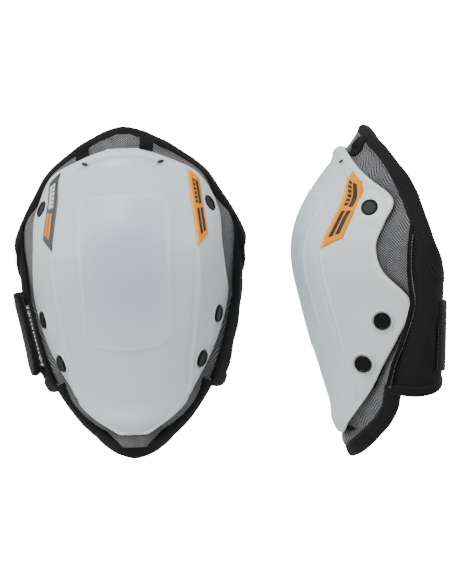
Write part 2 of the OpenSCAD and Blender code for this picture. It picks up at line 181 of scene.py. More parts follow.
# Stations down the pad, in mm: height; depth on the middle line; then how far out and how deep
# the crease, the cap's rim and the fabric's edge lie.
stations = np.array([
    [135.5, -5, 3, -5, 6, -4.5, 10, -3.5],
    [127, -13, 12, -12, 20, -9, 28, 0.5],
    [122.5, -20, 10, -19, 13, -18, 37, 4],
    [117, -26, 24, -22, 29, -17, 45, 8],
    [106, -31, 46, -18, 54, -12, 60, 15],
    [96, -38.5, 55, -20, 65.5, -3, 69.5, 22],
    [80, -49, 56, -25.5, 74, 14.5, 77, 29],
    [62, -57.5, 58.5, -34, 79.5, 6.5, 85, 32],
    [42, -62, 61, -43.5, 80.5, -1, 87, 29],
    [20, -61.5, 61, -43.5, 82, 4.5, 87, 29],
    [-7, -55.5, 58.8, -37, 83, 28.5, 87, 31.5],
    [-35, -48.5, 55, -29, 75.5, 18, 80, 25],
    [-58, -41.5, 51.5, -22, 65.5, 7, 72, 17],
    [-80, -35, 48.5, -15, 53, -2, 64.5, 13],
    [-95, -30.5, 41, -15.5, 44.5, -11.5, 56, 12],
    [-108, -29.5, 26, -21, 30, -19, 46, 7],
    [-116.5, -26, 11, -22.5, 15, -22.5, 37, 1],
    [-119.5, -24, 5, -23, 7, -23, 33, -1],
    [-127, -22.5, 10, -21.5, 15, -18, 25, -7],
    [-135.5, -17.5, 4, -17.5, 7, -17, 10, -15.5],
])
last_station = len(stations) - 1
# The cap's first and last station, its wall, the gap behind it, and where the curve from its
# crease to its rim turns, as shares of the way out and of the way back.
cap_top = 2
cap_bottom = 17
cap_wall = 3.0
cap_gap = 2.0
wall_turn = (0.60, 0.40)


def mix(a, b, t):
    """The value a share t of the way from a to b."""
    return a + (b - a) * t


def along(rows, u):
    """A smooth curve through rows, at places u counted in rows."""
    u = np.asarray(u, float)
    n = len(rows) - 1
    i = np.clip(np.floor(u).astype(int), 0, n - 1)
    t = (u - i)[..., None]
    p0, p1 = rows[np.maximum(i - 1, 0)], rows[i]
    p2, p3 = rows[i + 1], rows[np.minimum(i + 2, n)]
    return 0.5 * (2 * p1 + (p2 - p0) * t + (2 * p0 - 5 * p1 + 4 * p2 - p3) * t ** 2
                  + (3 * p1 - p0 - 3 * p2 + p3) * t ** 3)


def form(u, s):
    """The pad's outer form in mm: u down its stations, s across it, from 0 through 1 at
    the crease and 2 at the cap's rim to 3 at the fabric edge; its sign is the side."""
    u, s = np.broadcast_arrays(np.asarray(u, float), np.asarray(s, float))
    r = along(stations, u)
    a = np.abs(s)
    t = np.clip(a - 1, 0, 1)
    turn_x = mix(r[..., 2], r[..., 4], wall_turn[0])
    turn_y = mix(r[..., 3], r[..., 5], wall_turn[1])
    wall_x = mix(mix(r[..., 2], turn_x, t), mix(turn_x, r[..., 4], t), t)
    wall_y = mix(mix(r[..., 3], turn_y, t), mix(turn_y, r[..., 5], t), t)
    x = np.where(a <= 1, r[..., 2] * a, np.where(a <= 2, wall_x, mix(r[..., 4], r[..., 6], a - 2)))
    y = np.where(a <= 1, mix(r[..., 1], r[..., 3], a * a),
                 np.where(a <= 2, wall_y, mix(r[..., 5], r[..., 7], a - 2)))
    return np.stack([np.sign(s) * x, y, r[..., 0]], -1)


def unit(v):
    """v at length 1, over its last axis."""
    return v / np.maximum(np.linalg.norm(v, axis=-1, keepdims=True), 1e-9)


def form_normal(u, s, limit=2.0):
    """The form's outward direction, by differences."""
    u0, u1 = np.maximum(u - 0.2, 0), np.minimum(u + 0.2, last_station)
    s0, s1 = np.maximum(s - 0.06, -limit), np.minimum(s + 0.06, limit)
    return unit(np.cross(form(u1, s) - form(u0, s), form(u, s1) - form(u, s0)))


def even_rows(start, stop, count):
    """Stations between start and stop that lie at about even distances down the pad."""
    fine = np.linspace(start, stop, 600)
    centre = form(fine, np.zeros(600))
    crease = form(fine, np.ones(600))
    run = np.r_[0, np.cumsum(np.linalg.norm(np.diff(centre, axis=0), axis=1)
                             + 0.5 * np.linalg.norm(np.diff(crease, axis=0), axis=1))]
    return np.interp(np.linspace(0, run[-1], count), run, fine)


turn = math.radians(-83)
lean = math.radians(1.75)
second_place = Vector(frame["record"]["mounts"][1]["pos_m"])
second_matrix = (Matrix.Translation(second_place) @ Matrix.Rotation(lean, 4, "Y")
                 @ Matrix.Rotation(turn, 4, "Z"))


def to_row(points, pad):
    """Points of a pad's own frame, in mm, to the shared frame, in metres."""
    points = np.asarray(points, float) * MM
    if pad == "first":
        return points
    m = np.array(second_matrix)
    return points @ m[:3, :3].T + m[:3, 3]


def grid_faces(rows, cols, first=0, flip=False, around=False):
    """Quads of a grid of points, with its columns closed into a ring if around."""
    faces = []
    for i in range(rows - 1):
        for j in range(cols if around else cols - 1):
            k = (j + 1) % cols
            quad = (first + i * cols + j, first + (i + 1) * cols + j,
                    first + (i + 1) * cols + k, first + i * cols + k)
            faces.append(quad[::-1] if flip else quad)
    return faces


def closed_sheet(front, back, rounding=0):
    """Points, faces and a 0-to-1 UV of a closed sheet between two grids. Its edge bulges
    by rounding mm through extra rows of points."""
    rows, cols = front.shape[:2]
    count = rows * cols
    faces = grid_faces(rows, cols) + grid_faces(rows, cols, count, flip=True)
    border = ([(0, j) for j in range(cols)] + [(i, cols - 1) for i in range(1, rows)]
              + [(rows - 1, j) for j in range(cols - 2, -1, -1)] + [(i, 0) for i in range(rows - 2, 0, -1)])
    points = [front.reshape(-1, 3), back.reshape(-1, 3)]
    ii, jj = np.meshgrid(np.arange(rows), np.arange(cols), indexing="ij")
    uv = np.stack([jj / (cols - 1), 1 - ii / (rows - 1)], -1).reshape(-1, 2)
    uvs = [uv, uv]
    rings = [[i * cols + j for i, j in border]]
    if rounding:
        f = np.array([front[p] for p in border])
        b = np.array([back[p] for p in border])
        centre = (f + b) / 2
        side = np.roll(f, -1, 0) - np.roll(f, 1, 0)
        out = unit(np.cross(unit(side), unit(f - b)))
        inside = front.reshape(-1, 3).mean(0) - centre
        out = out * np.where(np.sum(out * inside, 1) > 0, -1, 1)[:, None]
        border_uv = np.array([uv[i * cols + j] for i, j in border])
        for share in (0.25, 0.5, 0.75):
            ring = mix(f, b, share) + out * rounding * math.sin(math.pi * share)
            rings.append([count * 2 + (len(rings) - 1) * len(border) + k for k in range(len(border))])
            points.append(ring)
            uvs.append(border_uv)
    rings.append([count + i * cols + j for i, j in border])
    n = len(border)
    for a, b in zip(rings[:-1], rings[1:]):
        for k in range(n):
            faces.append((a[k], a[(k + 1) % n], b[(k + 1) % n], b[k]))
    return np.concatenate(points), faces, np.concatenate(uvs)


def add_piece(name, points, faces, material, body, nodes=(), uv=None, values=None):
    """One mesh for each pad. values are named numbers for each point; the point's place in
    the pad's own frame, in metres, is kept as the attribute pad_place. body is None for a
    piece that rides no body."""
    made = []
    for pad in PADS:
        mesh = bpy.data.meshes.new(f"{pad}_{name}")
        mesh.from_pydata(to_row(points, pad).tolist(), [], faces)
        mesh.polygons.foreach_set("use_smooth", [True] * len(mesh.polygons))
        corner = np.empty(len(mesh.loops), int)
        mesh.loops.foreach_get("vertex_index", corner)
        if uv is not None:
            layer = mesh.uv_layers.new(name="UVMap")
            layer.data.foreach_set("uv", np.asarray(uv)[corner].ravel())
        place = mesh.attributes.new("pad_place", "FLOAT_VECTOR", "POINT")
        place.data.foreach_set("vector", (np.asarray(points) * MM).astype(np.float32).ravel())
        for key, numbers in (values or {}).items():
            attribute = mesh.attributes.new(key, "FLOAT", "POINT")
            attribute.data.foreach_set("value", np.asarray(numbers, np.float32))
        mesh.materials.append(material)
        mesh.validate()
        obj = bpy.data.objects.new(f"{pad}_{name}", mesh)
        bpy.context.scene.collection.objects.link(obj)
        if body:
            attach(obj, f"{pad}_{body}")
        if nodes:
            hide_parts(*[f"{pad}_{n}" for n in nodes])
        made.append(obj)
    return made


# Milky polypropylene, moulded in a fine-sparked tool: soft highlights and light that goes a few
# millimetres in. A painted highlight makes it paler along the rim and the raised lines, where the
# wall is seen end on, and painted shade makes it darker and bluer over the dark pad in the middle.
milky, tree, shader = new_material("Moulded milky polypropylene", "CFDADF", 0.34,
                                   Subsurface_Weight=0.35, Subsurface_Scale=0.006,
                                   Subsurface_Radius=(0.8, 1.0, 1.1), IOR=1.49)
in_pad = add_node(tree, "ShaderNodeAttribute", {"attribute_name": "pad_place"}).outputs["Vector"]
# The rim attribute carries the painted highlight, and the core attribute the painted shade.
painted_highlight_value = add_node(tree, "ShaderNodeAttribute", {"attribute_name": "rim"}).outputs["Fac"]
painted_shade_value = add_node(tree, "ShaderNodeAttribute", {"attribute_name": "core"}).outputs["Fac"]
cloudy = add_node(tree, "ShaderNodeTexNoise", Vector=in_pad, Scale=22.0, Detail=2.0)
tone = add_node(tree, "ShaderNodeMath", {"operation": "MULTIPLY_ADD"}, _0=cloudy.outputs["Fac"], _1=0.3,
                _2=painted_shade_value)
body_colour_with_painted_shade = add_node(tree, "ShaderNodeValToRGB", Fac=tone.outputs[0],
                       stops=((0.1, "DCE5E8"), (0.55, "CEDBE1"), (1.0, "BCCEDA")))
cap_colour_with_painted_light = add_node(tree, "ShaderNodeMix", {"data_type": "RGBA"}, Factor=painted_highlight_value,
                      _6=body_colour_with_painted_shade.outputs["Color"], _7=rgb("F0F0EC"))
tree.links.new(cap_colour_with_painted_light.outputs[2], shader.inputs["Base Color"])
grain = add_node(tree, "ShaderNodeTexNoise", Vector=in_pad, Scale=900.0, Detail=2.0)
sparked = add_node(tree, "ShaderNodeBump", Height=grain.outputs["Fac"], Strength=0.35, Distance=0.05 * MM)
tree.links.new(sparked.outputs["Normal"], shader.inputs["Normal"])

cap_rows = even_rows(cap_top, cap_bottom, 170)
cap_cols = np.r_[np.linspace(-2, -1, 30)[:-1], np.linspace(-1, 1, 91), np.linspace(1, 2, 30)[1:]]
cap_u, cap_s = np.meshgrid(cap_rows, cap_cols, indexing="ij")
cap_form = form(cap_u, cap_s)
cap_normal = form_normal(cap_u, cap_s)
snap_places = [(6.4, 0.64), (10.5, 0.70), (12.0, 0.50)]


def bell(distance_mm, width_mm):
    """A smooth hump: 1 at no distance, and near 0 past the width."""
    return np.exp(-(distance_mm / width_mm) ** 2)


def smooth_step(value, low, high):
    """0 below low, 1 above high and smooth between."""
    t = np.clip((value - low) / (high - low), 0, 1)
    return t * t * (3 - 2 * t)


def panel_distance(x, z):
    """Signed distance in mm from the outline of the knee panel, negative inside."""
    half_x = 37.0 + (z - 20) * 0.02
    top = 84.0 - 3.0 * (x / 38) ** 2
    bottom = -46.0 + 7.5 * (x / 38) ** 2
    corner = 9.0
    middle_z, half_z = (top + bottom) / 2, (top - bottom) / 2
    dx = np.abs(x) - half_x + corner
    dz = np.abs(z - middle_z) - half_z + corner
    return (np.hypot(np.maximum(dx, 0), np.maximum(dz, 0)) + np.minimum(np.maximum(dx, dz), 0)) - corner


# Moulded detail, as mm out of the plain form: the knee panel and its outline, the rolled rim
# and the step below it, the side ribs and the dips beside them, the lobes and the toe's step.
# The wall is taken as 34 mm wide from crease to rim all the way down.
panel_rise = 0.35
outline_rise = 0.55
rim_roll = 0.9
rim_step = 1.1
rib_rise = 1.2
rib_dip = 0.8
lobe_rise = 1.4
toe_step = 0.8
wall_run = 34


def cap_relief(points, u, s):
    """How far the moulded detail stands out of the plain form, in mm."""
    x, z = points[..., 0], points[..., 2]
    height = np.zeros(x.shape)
    panel = panel_distance(x, z)
    raised = panel_rise * smooth_step(-panel, -0.8, 0.8) + outline_rise * bell(panel, 1.3)
    height += raised * (np.abs(s) < 1)
    below_rim = 122.5 - x ** 2 / 134 - z
    near_top = smooth_step(z, 88, 98)
    height += near_top * (rim_roll * bell(below_rim - 2.0, 3.0) - rim_step * smooth_step(below_rim, 4.5, 6.5)
                          * (1 - smooth_step(below_rim, 13.5, 16.5)))
    crease = np.abs(s) - 1
    crease_mm = np.where(crease > 0, crease * wall_run, crease * 60)
    rib_run = smooth_step(u, 8.1, 8.5) * (1 - smooth_step(u, 13.35, 13.6))
    height += rib_run * (rib_rise * bell(crease_mm - 1.2, 1.4) - rib_dip * bell(crease_mm + 2.4, 1.3))
    lobe = form(np.array(snap_places[0][0]), np.array(1 + snap_places[0][1]))
    away = np.hypot(points[..., 2] - lobe[2], points[..., 1] - lobe[1])
    height += lobe_rise * np.where(np.abs(x) > 55, smooth_step(-away, -17, -9), 0)
    toe = smooth_step(-z, 86, 88.5) * (1 - smooth_step(-z, 91, 93)) * smooth_step(np.abs(s), 1.0, 1.2)
    height -= toe_step * toe
    return height


cap_outer = cap_form + cap_normal * cap_relief(cap_form, cap_u, cap_s)[..., None]
cap_inner = cap_form - cap_normal * cap_wall
# Painted highlight: full within 3.5 mm of the cap's edges, and 0.55 along the knee panel's outline and the
# side ribs.
edge_distance = np.minimum.reduce([
    (2 - np.abs(cap_s)) * wall_run, np.linalg.norm(cap_form - cap_form[:1], axis=-1),
    np.linalg.norm(cap_form - cap_form[-1:], axis=-1)])
outline = bell(panel_distance(cap_form[..., 0], cap_form[..., 2]), 1.0) * (np.abs(cap_s) < 1)
side_line = (bell((np.abs(cap_s) - 1.03) * 45, 1.2) * smooth_step(cap_u, 8.1, 8.5)
             * (1 - smooth_step(cap_u, 13.3, 13.6)))
painted_highlight_share = np.maximum(np.clip(1 - edge_distance / 3.5, 0, 1), 0.55 * np.maximum(outline, side_line))
# Painted shade: darker and bluer over the middle of the cap, where the dark pad lies behind it.
painted_shade_share = np.exp(-(cap_form[..., 0] / 46) ** 2 - ((cap_form[..., 2] - 22) / 66) ** 2)
points, faces, uv = closed_sheet(cap_outer, cap_inner, 0.7)
border_count = len(points) - 2 * cap_u.size
# The cap's edge faces get the full painted highlight and no painted shade.
painted_highlight_values = np.r_[painted_highlight_share.ravel(), painted_highlight_share.ravel(), np.ones(border_count)]
painted_shade_values = np.r_[painted_shade_share.ravel(), painted_shade_share.ravel(), np.zeros(border_count)]
add_piece("moulded_cap", points, faces, milky, "cap", ["cap_shell"], uv,
          {"rim": painted_highlight_values, "core": painted_shade_values})

# ---------------------------------------------------------------- the snap fasteners
# Six 24-line snaps hold the cap: an enamelled cap over a spring socket in the cap's wall,
# and a nickel stud with its post through the mesh cover behind. They keep their CAD shapes.


def dress(name, material):
    """Gives both pads' CAD node of that name a material."""
    for pad in PADS:
        node = frame["nodes"][f"{pad}_{name}"]
        if not node.material_slots:
            node.data.materials.append(material)
        for holder in node.material_slots:
            holder.link = "OBJECT"
            holder.material = material


# Black baked enamel on brass: deep black, with only a faint, soft highlight.
enamel, _, _ = new_material("Black baked enamel", "040405", 0.4, Specular_IOR_Level=0.2)
# Nickel-plated brass, tumbled: a soft grey metal.
nickel, _, _ = new_material("Nickel-plated brass", "B9B4AA", 0.32, Metallic=1.0)
dress("snap_caps", enamel)
dress("snap_sockets", nickel)
dress("snap_studs", nickel)
dress("snap_posts", nickel)


def on_cap(u, s, local, height):
    """Points round a place of the cap: local is (across, down) in mm in the surface there."""
    centre = form(np.array(u), np.array(s))
    out = form_normal(np.array(u), np.array(s))
    across = unit(np.cross([0.0, 0.0, 1.0], out))
    down = np.cross(across, out)
    return centre + local[..., :1] * across + local[..., 1:] * down + height * out


# A moulded ring stands round every snap, a little wider than the snap's cap.
ring_radius = 9.3
ring_turn, ring_round = np.meshgrid(np.linspace(0, math.tau, 64, endpoint=False),
                                    np.linspace(0, math.tau, 12, endpoint=False), indexing="ij")
ring_points = []
ring_faces = []
for side in (-1, 1):
    for u, share in snap_places:
        radius = ring_radius + 0.9 * np.cos(ring_round)
        local = np.stack([radius * np.cos(ring_turn), radius * np.sin(ring_turn)], -1)
        grid = on_cap(u, side * (1 + share), local, (0.15 + 0.75 * np.sin(ring_round))[..., None])
        start = sum(len(g) for g in ring_points)
        ring_points.append(np.concatenate([grid, grid[:1]]).reshape(-1, 3))
        ring_faces += grid_faces(65, 12, start, around=True)
# The rings carry a weak painted highlight, about a third of the rim's.
add_piece("snap_rings", np.concatenate(ring_points), ring_faces, milky, "cap",
          values={"rim": np.full(sum(len(g) for g in ring_points), 0.3)})

# ---------------------------------------------------------------- the slots under the top rim
# Two short slots lie near the ends of the cap's top rim. Each is a dark lens of painted shade
# in the rim's face, where the slot's shadowed inside would show, tilted along the rim, with a rounded end at
# both sides.

slot_u = 3.62
slot_x = 31.7
slot_half_long = 3.3
slot_half_short = 1.5
slot_tilt = 0.3
# The same plastic in the shade of the slot's walls: dull and nearly black.
slot_painted_shade, _, _ = new_material("Shadowed moulded slot", "2A2D2F", 0.7)
lens_turn = np.linspace(0, math.tau, 25)
lens_share = np.linspace(0, 1, 4)
slot_points = []
slot_faces = []
for side in (-1, 1):
    tilt = side * -slot_tilt
    ellipse = np.stack([lens_share[:, None] * slot_half_long * np.cos(lens_turn),
                        lens_share[:, None] * slot_half_short * np.sin(lens_turn)], -1)
    turned = np.stack([ellipse[..., 0] * math.cos(tilt) - ellipse[..., 1] * math.sin(tilt),
                       ellipse[..., 0] * math.sin(tilt) + ellipse[..., 1] * math.cos(tilt)], -1)
    slot_s = side * slot_x / along(stations, np.array(slot_u))[2]
    grid = on_cap(slot_u, slot_s, turned, 1.15)
    slot_faces += grid_faces(4, 25, sum(len(g) for g in slot_points))
    slot_points.append(grid.reshape(-1, 3))
add_piece("rim_slots", np.concatenate(slot_points), slot_faces, slot_painted_shade, "cap")

# ---------------------------------------------------------------- the side badges
# A slanted plate is bonded to each side of the cap: dark on the left and orange on the right.
# The plates have a bevelled edge and plain raised bars, and carry no lettering.

# The right badge's corners, as mm out and up: top inner and outer, then bottom inner and outer.
badge_corners = np.array([[53, 104], [63, 95], [61, 39], [69.5, 48]], float)
plate_low = 0.3
plate_high = 1.35
plate_bevel = 0.6
bar_low = 1.2
bar_high = 1.5


def badge_grid(a, b, side, height):
    """Points on a badge: a runs down it, b from its inner edge to its outer one."""
    a, b = np.meshgrid(a, b, indexing="ij")
    top = badge_corners[0] + (badge_corners[1] - badge_corners[0]) * b[..., None]
    bottom = badge_corners[2] + (badge_corners[3] - badge_corners[2]) * b[..., None]
    spot = top + (bottom - top) * a[..., None]
    u = np.interp(-spot[..., 1], -stations[:, 0], np.arange(len(stations)))
    r = along(stations, u)
    # From crease to rim the form runs out by 1.2 t - 0.2 t * t: this is that, solved for t.
    share = 3 - np.sqrt(9 - 5 * np.clip((spot[..., 0] - r[..., 2]) / (r[..., 4] - r[..., 2]), 0, 1))
    s = side * (1 + share)
    return form(u, s) + form_normal(u, s) * height


def badge_plate(a, b, side, low, high, bevel=0.0):
    """A closed thin plate over part of a badge. Its outline sinks by bevel mm."""
    rounded = np.ones((len(a), len(b)))
    rounded[[0, -1], :] = 0
    rounded[:, [0, -1]] = 0
    height = (high - bevel * (1 - rounded))[..., None]
    front, back = badge_grid(a, b, side, height), badge_grid(a, b, side, low)
    if side < 0:
        front, back = front[:, ::-1], back[:, ::-1]
    return closed_sheet(front, back)


def edged(start, stop, count, edge):
    """Even places from start to stop, with one more just inside each end."""
    return np.r_[start, np.linspace(start + edge, stop - edge, count), stop]


# Printed and domed polyurethane over a vinyl film: flat, even colours with a soft shine, and
# a painted highlight that lightens the bevel along the orange one's inner side.
dark_print, _, _ = new_material("Domed print, dark", "3A3A3C", 0.3, Coat_Weight=0.4, Coat_Roughness=0.12)
orange_print, tree, shader = new_material("Domed print, orange", "F59300", 0.45, Specular_IOR_Level=0.15)
# The bevel attribute marks where the painted highlight lies on the orange print.
bevel_painted_highlight = add_node(tree, "ShaderNodeAttribute", {"attribute_name": "bevel"}).outputs["Fac"]
print_colour_with_highlight = add_node(tree, "ShaderNodeValToRGB", Fac=bevel_painted_highlight, stops=((0.0, "F59300"), (1.0, "FFB545")))
tree.links.new(print_colour_with_highlight.outputs["Color"], shader.inputs["Base Color"])
# Screen-printed inks under the dome: plain and opaque.
black_ink, _, _ = new_material("Black print", "161514", 0.4)
white_ink, _, _ = new_material("White print", "E4E4E2", 0.4)
orange_ink, _, _ = new_material("Orange print", "F08A00", 0.4)
badge_a = edged(0, 1, 60, 0.012)
badge_b = edged(0, 1, 14, 0.07)
for name, side, material in (("dark_plate", -1, dark_print), ("orange_plate", 1, orange_print)):
    points, faces, uv = badge_plate(badge_a, badge_b, side, plate_low, plate_high, plate_bevel)
    b_value = uv[:, 0] if side > 0 else 1 - uv[:, 0]
    add_piece(name, points, faces, material, "cap",
              ["dark_badge" if side < 0 else "orange_badge"], uv,
              {"bevel": smooth_step(0.17 - b_value, 0.0, 0.03)})

# The printed bars, as shares of the badge: from and to down it, then from and to across it.
long_bars = [(0.10, 0.47, 0.56, 0.76)]
double_bars = [(0.53, 0.90, 0.34, 0.54), (0.53, 0.90, 0.62, 0.82)]
short_bars = [(0.10 + 0.062 * k, 0.145 + 0.062 * k, 0.30, 0.50) for k in range(6)]


def add_bars(name, side, bars, material):
    """A set of thin raised bars on a badge."""
    all_points, all_faces = [], []
    for a0, a1, b0, b1 in bars:
        points, faces, _ = badge_plate(np.linspace(a0, a1, 16), np.linspace(b0, b1, 4), side,
                                       bar_low, bar_high)
        start = sum(len(p) for p in all_points)
        all_faces += [tuple(v + start for v in face) for face in faces]
        all_points.append(points)
    add_piece(name, np.concatenate(all_points), all_faces, material, "cap")


add_bars("orange_plate_bars", 1, long_bars + double_bars + short_bars, black_ink)
add_bars("dark_plate_white_bars", -1, long_bars + short_bars, white_ink)
add_bars("dark_plate_orange_bars", -1, double_bars, orange_ink)

# ---------------------------------------------------------------- the mesh cover
# A spacer mesh covers the pad's whole front under the cap, from edge to edge. It is knitted of
# charcoal yarn with silver threads that run in slanted ribs, and every second panel of ribs
# leans the other way.

cover_thick = 1.5
edge_thick = 9.0
pad_thick = 26.0
rim_gap = 2.6
leg_y = 45.0
leg_lean = 0.55


def inward(p):
    """The direction from a point of the form towards the leg."""
    target = np.stack([np.zeros(p.shape[:-1]), np.full(p.shape[:-1], leg_y), leg_lean * p[..., 2]], -1)
    return unit(target - p)


def under_base(u, s, depth):
    """A point of the padded base, depth mm under its front face."""
    u, s, depth = np.broadcast_arrays(np.asarray(u, float), np.asarray(s, float), np.asarray(depth, float))
    a = np.abs(s)
    gap = ((cap_wall + cap_gap + rim_gap * np.clip(2 * a - 3, 0, 1)) * np.clip(3 - a, 0, 1)
           * np.clip(u / cap_top, 0, 1) * np.clip((last_station - u) / (last_station - cap_bottom), 0, 1))
    p = form(u, s)
    return p + (gap + depth)[..., None] * inward(p)


def base_thick(u, s):
    """Thickness of the padded base."""
    arch = np.maximum(np.sin(math.pi * u / last_station), 0) ** 0.7
    return mix(edge_thick, pad_thick, arch * (1 - (np.abs(s) / 3) ** 2))


def puff(points):
    """Fabric near the side edges stands out a few mm further than the plain form."""
    x, z = points[..., 0], points[..., 2]
    more = 4.5 * bell(z - 62, 40.0) + 3.5 * bell(z + 70, 24.0)
    moved = np.array(points, float)
    moved[..., 0] += np.sign(x) * more * smooth_step(np.abs(x), 58, 84)
    return moved


def run_lengths(points, axis):
    """Distance in mm run along a grid of points, from its first row or column."""
    step = np.linalg.norm(np.diff(points, axis=axis), axis=-1)
    lead = np.zeros_like(np.take(step, [0], axis=axis))
    return np.cumsum(np.concatenate([lead, step], axis=axis), axis=axis)


# Charcoal and silver polyester yarns, warp-knitted: dull valleys and bright thread backs. The
# threads are drawn 2.2 mm apart down the pad, coarser than they are, so that they show.
thread_mm = 2.2
knot_mm = 1.5
panel_mm = 9.0
spacer_mesh, tree, shader = new_material("Knitted spacer mesh", "6A6B6D", 0.75, Sheen_Weight=0.25,
                                         Sheen_Roughness=0.5)
across_mm = add_node(tree, "ShaderNodeAttribute", {"attribute_name": "across_mm"}).outputs["Fac"]
down_mm = add_node(tree, "ShaderNodeAttribute", {"attribute_name": "down_mm"}).outputs["Fac"]
panel_wave = add_node(tree, "ShaderNodeMath", {"operation": "PINGPONG"}, _0=across_mm, _1=panel_mm).outputs[0]
slant = add_node(tree, "ShaderNodeMath", {"operation": "MULTIPLY_ADD"}, _0=panel_wave, _1=0.9,
                 _2=down_mm).outputs[0]
phase = add_node(tree, "ShaderNodeMath", {"operation": "MULTIPLY"}, _0=slant,
                 _1=math.tau / thread_mm).outputs[0]
thread = add_node(tree, "ShaderNodeMath", {"operation": "SINE"}, _0=phase).outputs[0]
cross_phase = add_node(tree, "ShaderNodeMath", {"operation": "MULTIPLY"}, _0=across_mm,
                       _1=math.tau / knot_mm).outputs[0]
knots = add_node(tree, "ShaderNodeMath", {"operation": "SINE"}, _0=cross_phase).outputs[0]
woven = add_node(tree, "ShaderNodeMath", {"operation": "MULTIPLY_ADD"}, _0=knots, _1=0.3,
                 _2=thread).outputs[0]
in_pad = add_node(tree, "ShaderNodeAttribute", {"attribute_name": "pad_place"}).outputs["Vector"]
mottle = add_node(tree, "ShaderNodeTexNoise", Vector=in_pad, Scale=140.0, Detail=3.0).outputs["Fac"]
worn = add_node(tree, "ShaderNodeMath", {"operation": "MULTIPLY_ADD"}, _0=mottle, _1=0.8,
                _2=woven).outputs[0]
shade = add_node(tree, "ShaderNodeMapRange", _0=worn, _1=-0.9, _2=1.9).outputs[0]
yarn_colour = add_node(tree, "ShaderNodeValToRGB", Fac=shade,
                       stops=((0.0, "1A1B1E"), (0.45, "3C3D41"), (0.8, "7E7F82"), (1.0, "A6A7A8")))
tree.links.new(yarn_colour.outputs["Color"], shader.inputs["Base Color"])
yarn_relief = add_node(tree, "ShaderNodeBump", Height=shade, Strength=0.8, Distance=0.5 * MM)
tree.links.new(yarn_relief.outputs["Normal"], shader.inputs["Normal"])

cover_u, cover_s = np.meshgrid(even_rows(0.15, last_station - 0.5, 150), np.linspace(-3, 3, 121),
                               indexing="ij")
cover_front = under_base(cover_u, cover_s, 0.0)
points, faces, uv = closed_sheet(cover_front, under_base(cover_u, cover_s, cover_thick))
half_runs = run_lengths(cover_front, 1)
half_runs = half_runs - half_runs[:, 60:61]
border_count = len(points) - 2 * cover_u.size
across = np.r_[half_runs.ravel(), half_runs.ravel(), np.zeros(border_count)]
downs = np.broadcast_to(run_lengths(cover_front, 0)[:, 60:61], cover_u.shape).ravel()
downs = np.r_[downs, downs, np.zeros(border_count)]
add_piece("spacer_cover", puff(points), faces, spacer_mesh, "base", ["mesh_cover"], uv,
          {"across_mm": across, "down_mm": downs})

# ---------------------------------------------------------------- the knee cushion
# The foam base in its black lining. The lining is sewn down along lines round and across the
# knee cup, and a short cloth run lets the foam swell it between the seams. It rides the base.


# A wave texture's scale at which straight bands would lie 1 mm apart.
band_scale = 314.0


def knit_material(name, dark, light, rib_mm, depth_mm, sheen):
    """Black cloth with slanted ribs under a fuzz, placed in the pad's frame. rib_mm is for straight
    bands: slanted ones lie 1.4 times as far apart on a face to the front."""
    made, tree, shader = new_material(name, dark, 0.85, Sheen_Weight=sheen, Sheen_Roughness=0.45,
                                      Specular_IOR_Level=0.25)
    in_pad = add_node(tree, "ShaderNodeAttribute", {"attribute_name": "pad_place"}).outputs["Vector"]
    ribs = add_node(tree, "ShaderNodeTexWave", {"wave_type": "BANDS", "bands_direction": "DIAGONAL"},
                    Vector=in_pad, Scale=band_scale / rib_mm, Distortion=1.2, Detail=1.0)
    fuzz = add_node(tree, "ShaderNodeTexNoise", Vector=in_pad, Scale=900.0, Detail=3.0)
    both = add_node(tree, "ShaderNodeMath", {"operation": "MULTIPLY"}, _0=ribs.outputs["Fac"],
                    _1=fuzz.outputs["Fac"]).outputs[0]
    yarn_colour = add_node(tree, "ShaderNodeValToRGB", Fac=both, stops=((0.1, dark), (0.7, light)))
    tree.links.new(yarn_colour.outputs["Color"], shader.inputs["Base Color"])
    relief = add_node(tree, "ShaderNodeBump", Height=both, Strength=0.7, Distance=depth_mm * MM)
    tree.links.new(relief.outputs["Normal"], shader.inputs["Normal"])
    return made


# Brushed tricot: a matt black lining with a short nap.
tricot = knit_material("Brushed black tricot", "0C0C0D", "242426", 2.4, 0.3, 0.2)

cushion_u, cushion_s = np.meshgrid(even_rows(0.05, last_station - 0.05, 72), np.linspace(-3, 3, 61),
                                   indexing="ij")
cushion_front = under_base(cushion_u, cushion_s, cover_thick + 0.3)
cushion_back = under_base(cushion_u, cushion_s, base_thick(cushion_u, cushion_s))
points, faces, _ = closed_sheet(cushion_front, cushion_back)
rough = bpy.data.meshes.new("rough_cushion")
rough.from_pydata((points * MM).tolist(), [], faces)
maker = bpy.data.objects.new("cushion_maker", rough)
bpy.context.scene.collection.objects.link(maker)


def made_real(obj):
    """The object's evaluated mesh, with its modifiers taken off."""
    graph = bpy.context.evaluated_depsgraph_get()
    mesh = bpy.data.meshes.new_from_object(obj.evaluated_get(graph))
    obj.modifiers.clear()
    obj.data = mesh
    return mesh


def places_of(mesh):
    """The mesh's points as an array, in its own units."""
    flat = np.empty(len(mesh.vertices) * 3)
    mesh.vertices.foreach_get("co", flat)
    return flat.reshape(-1, 3)


remesh = maker.modifiers.new("remesh", "REMESH")
remesh.mode = "VOXEL"
remesh.voxel_size = 4.2 * MM
cushion_mesh = made_real(maker)
before = places_of(cushion_mesh) / MM


def nearest(grid):
    """For every point of the cushion, the nearest grid point's index and distance in mm."""
    flat = grid.reshape(-1, 3)
    found, away = [], []
    for start in range(0, len(before), 500):
        gap = np.linalg.norm(before[start:start + 500, None] - flat[None], axis=-1)
        found.append(gap.argmin(1))
        away.append(gap.min(1))
    return np.concatenate(found), np.concatenate(away)


back_index, back_away = nearest(cushion_back)
_, front_away = nearest(cushion_front)
near_u, near_s = cushion_u.ravel()[back_index], cushion_s.ravel()[back_index]
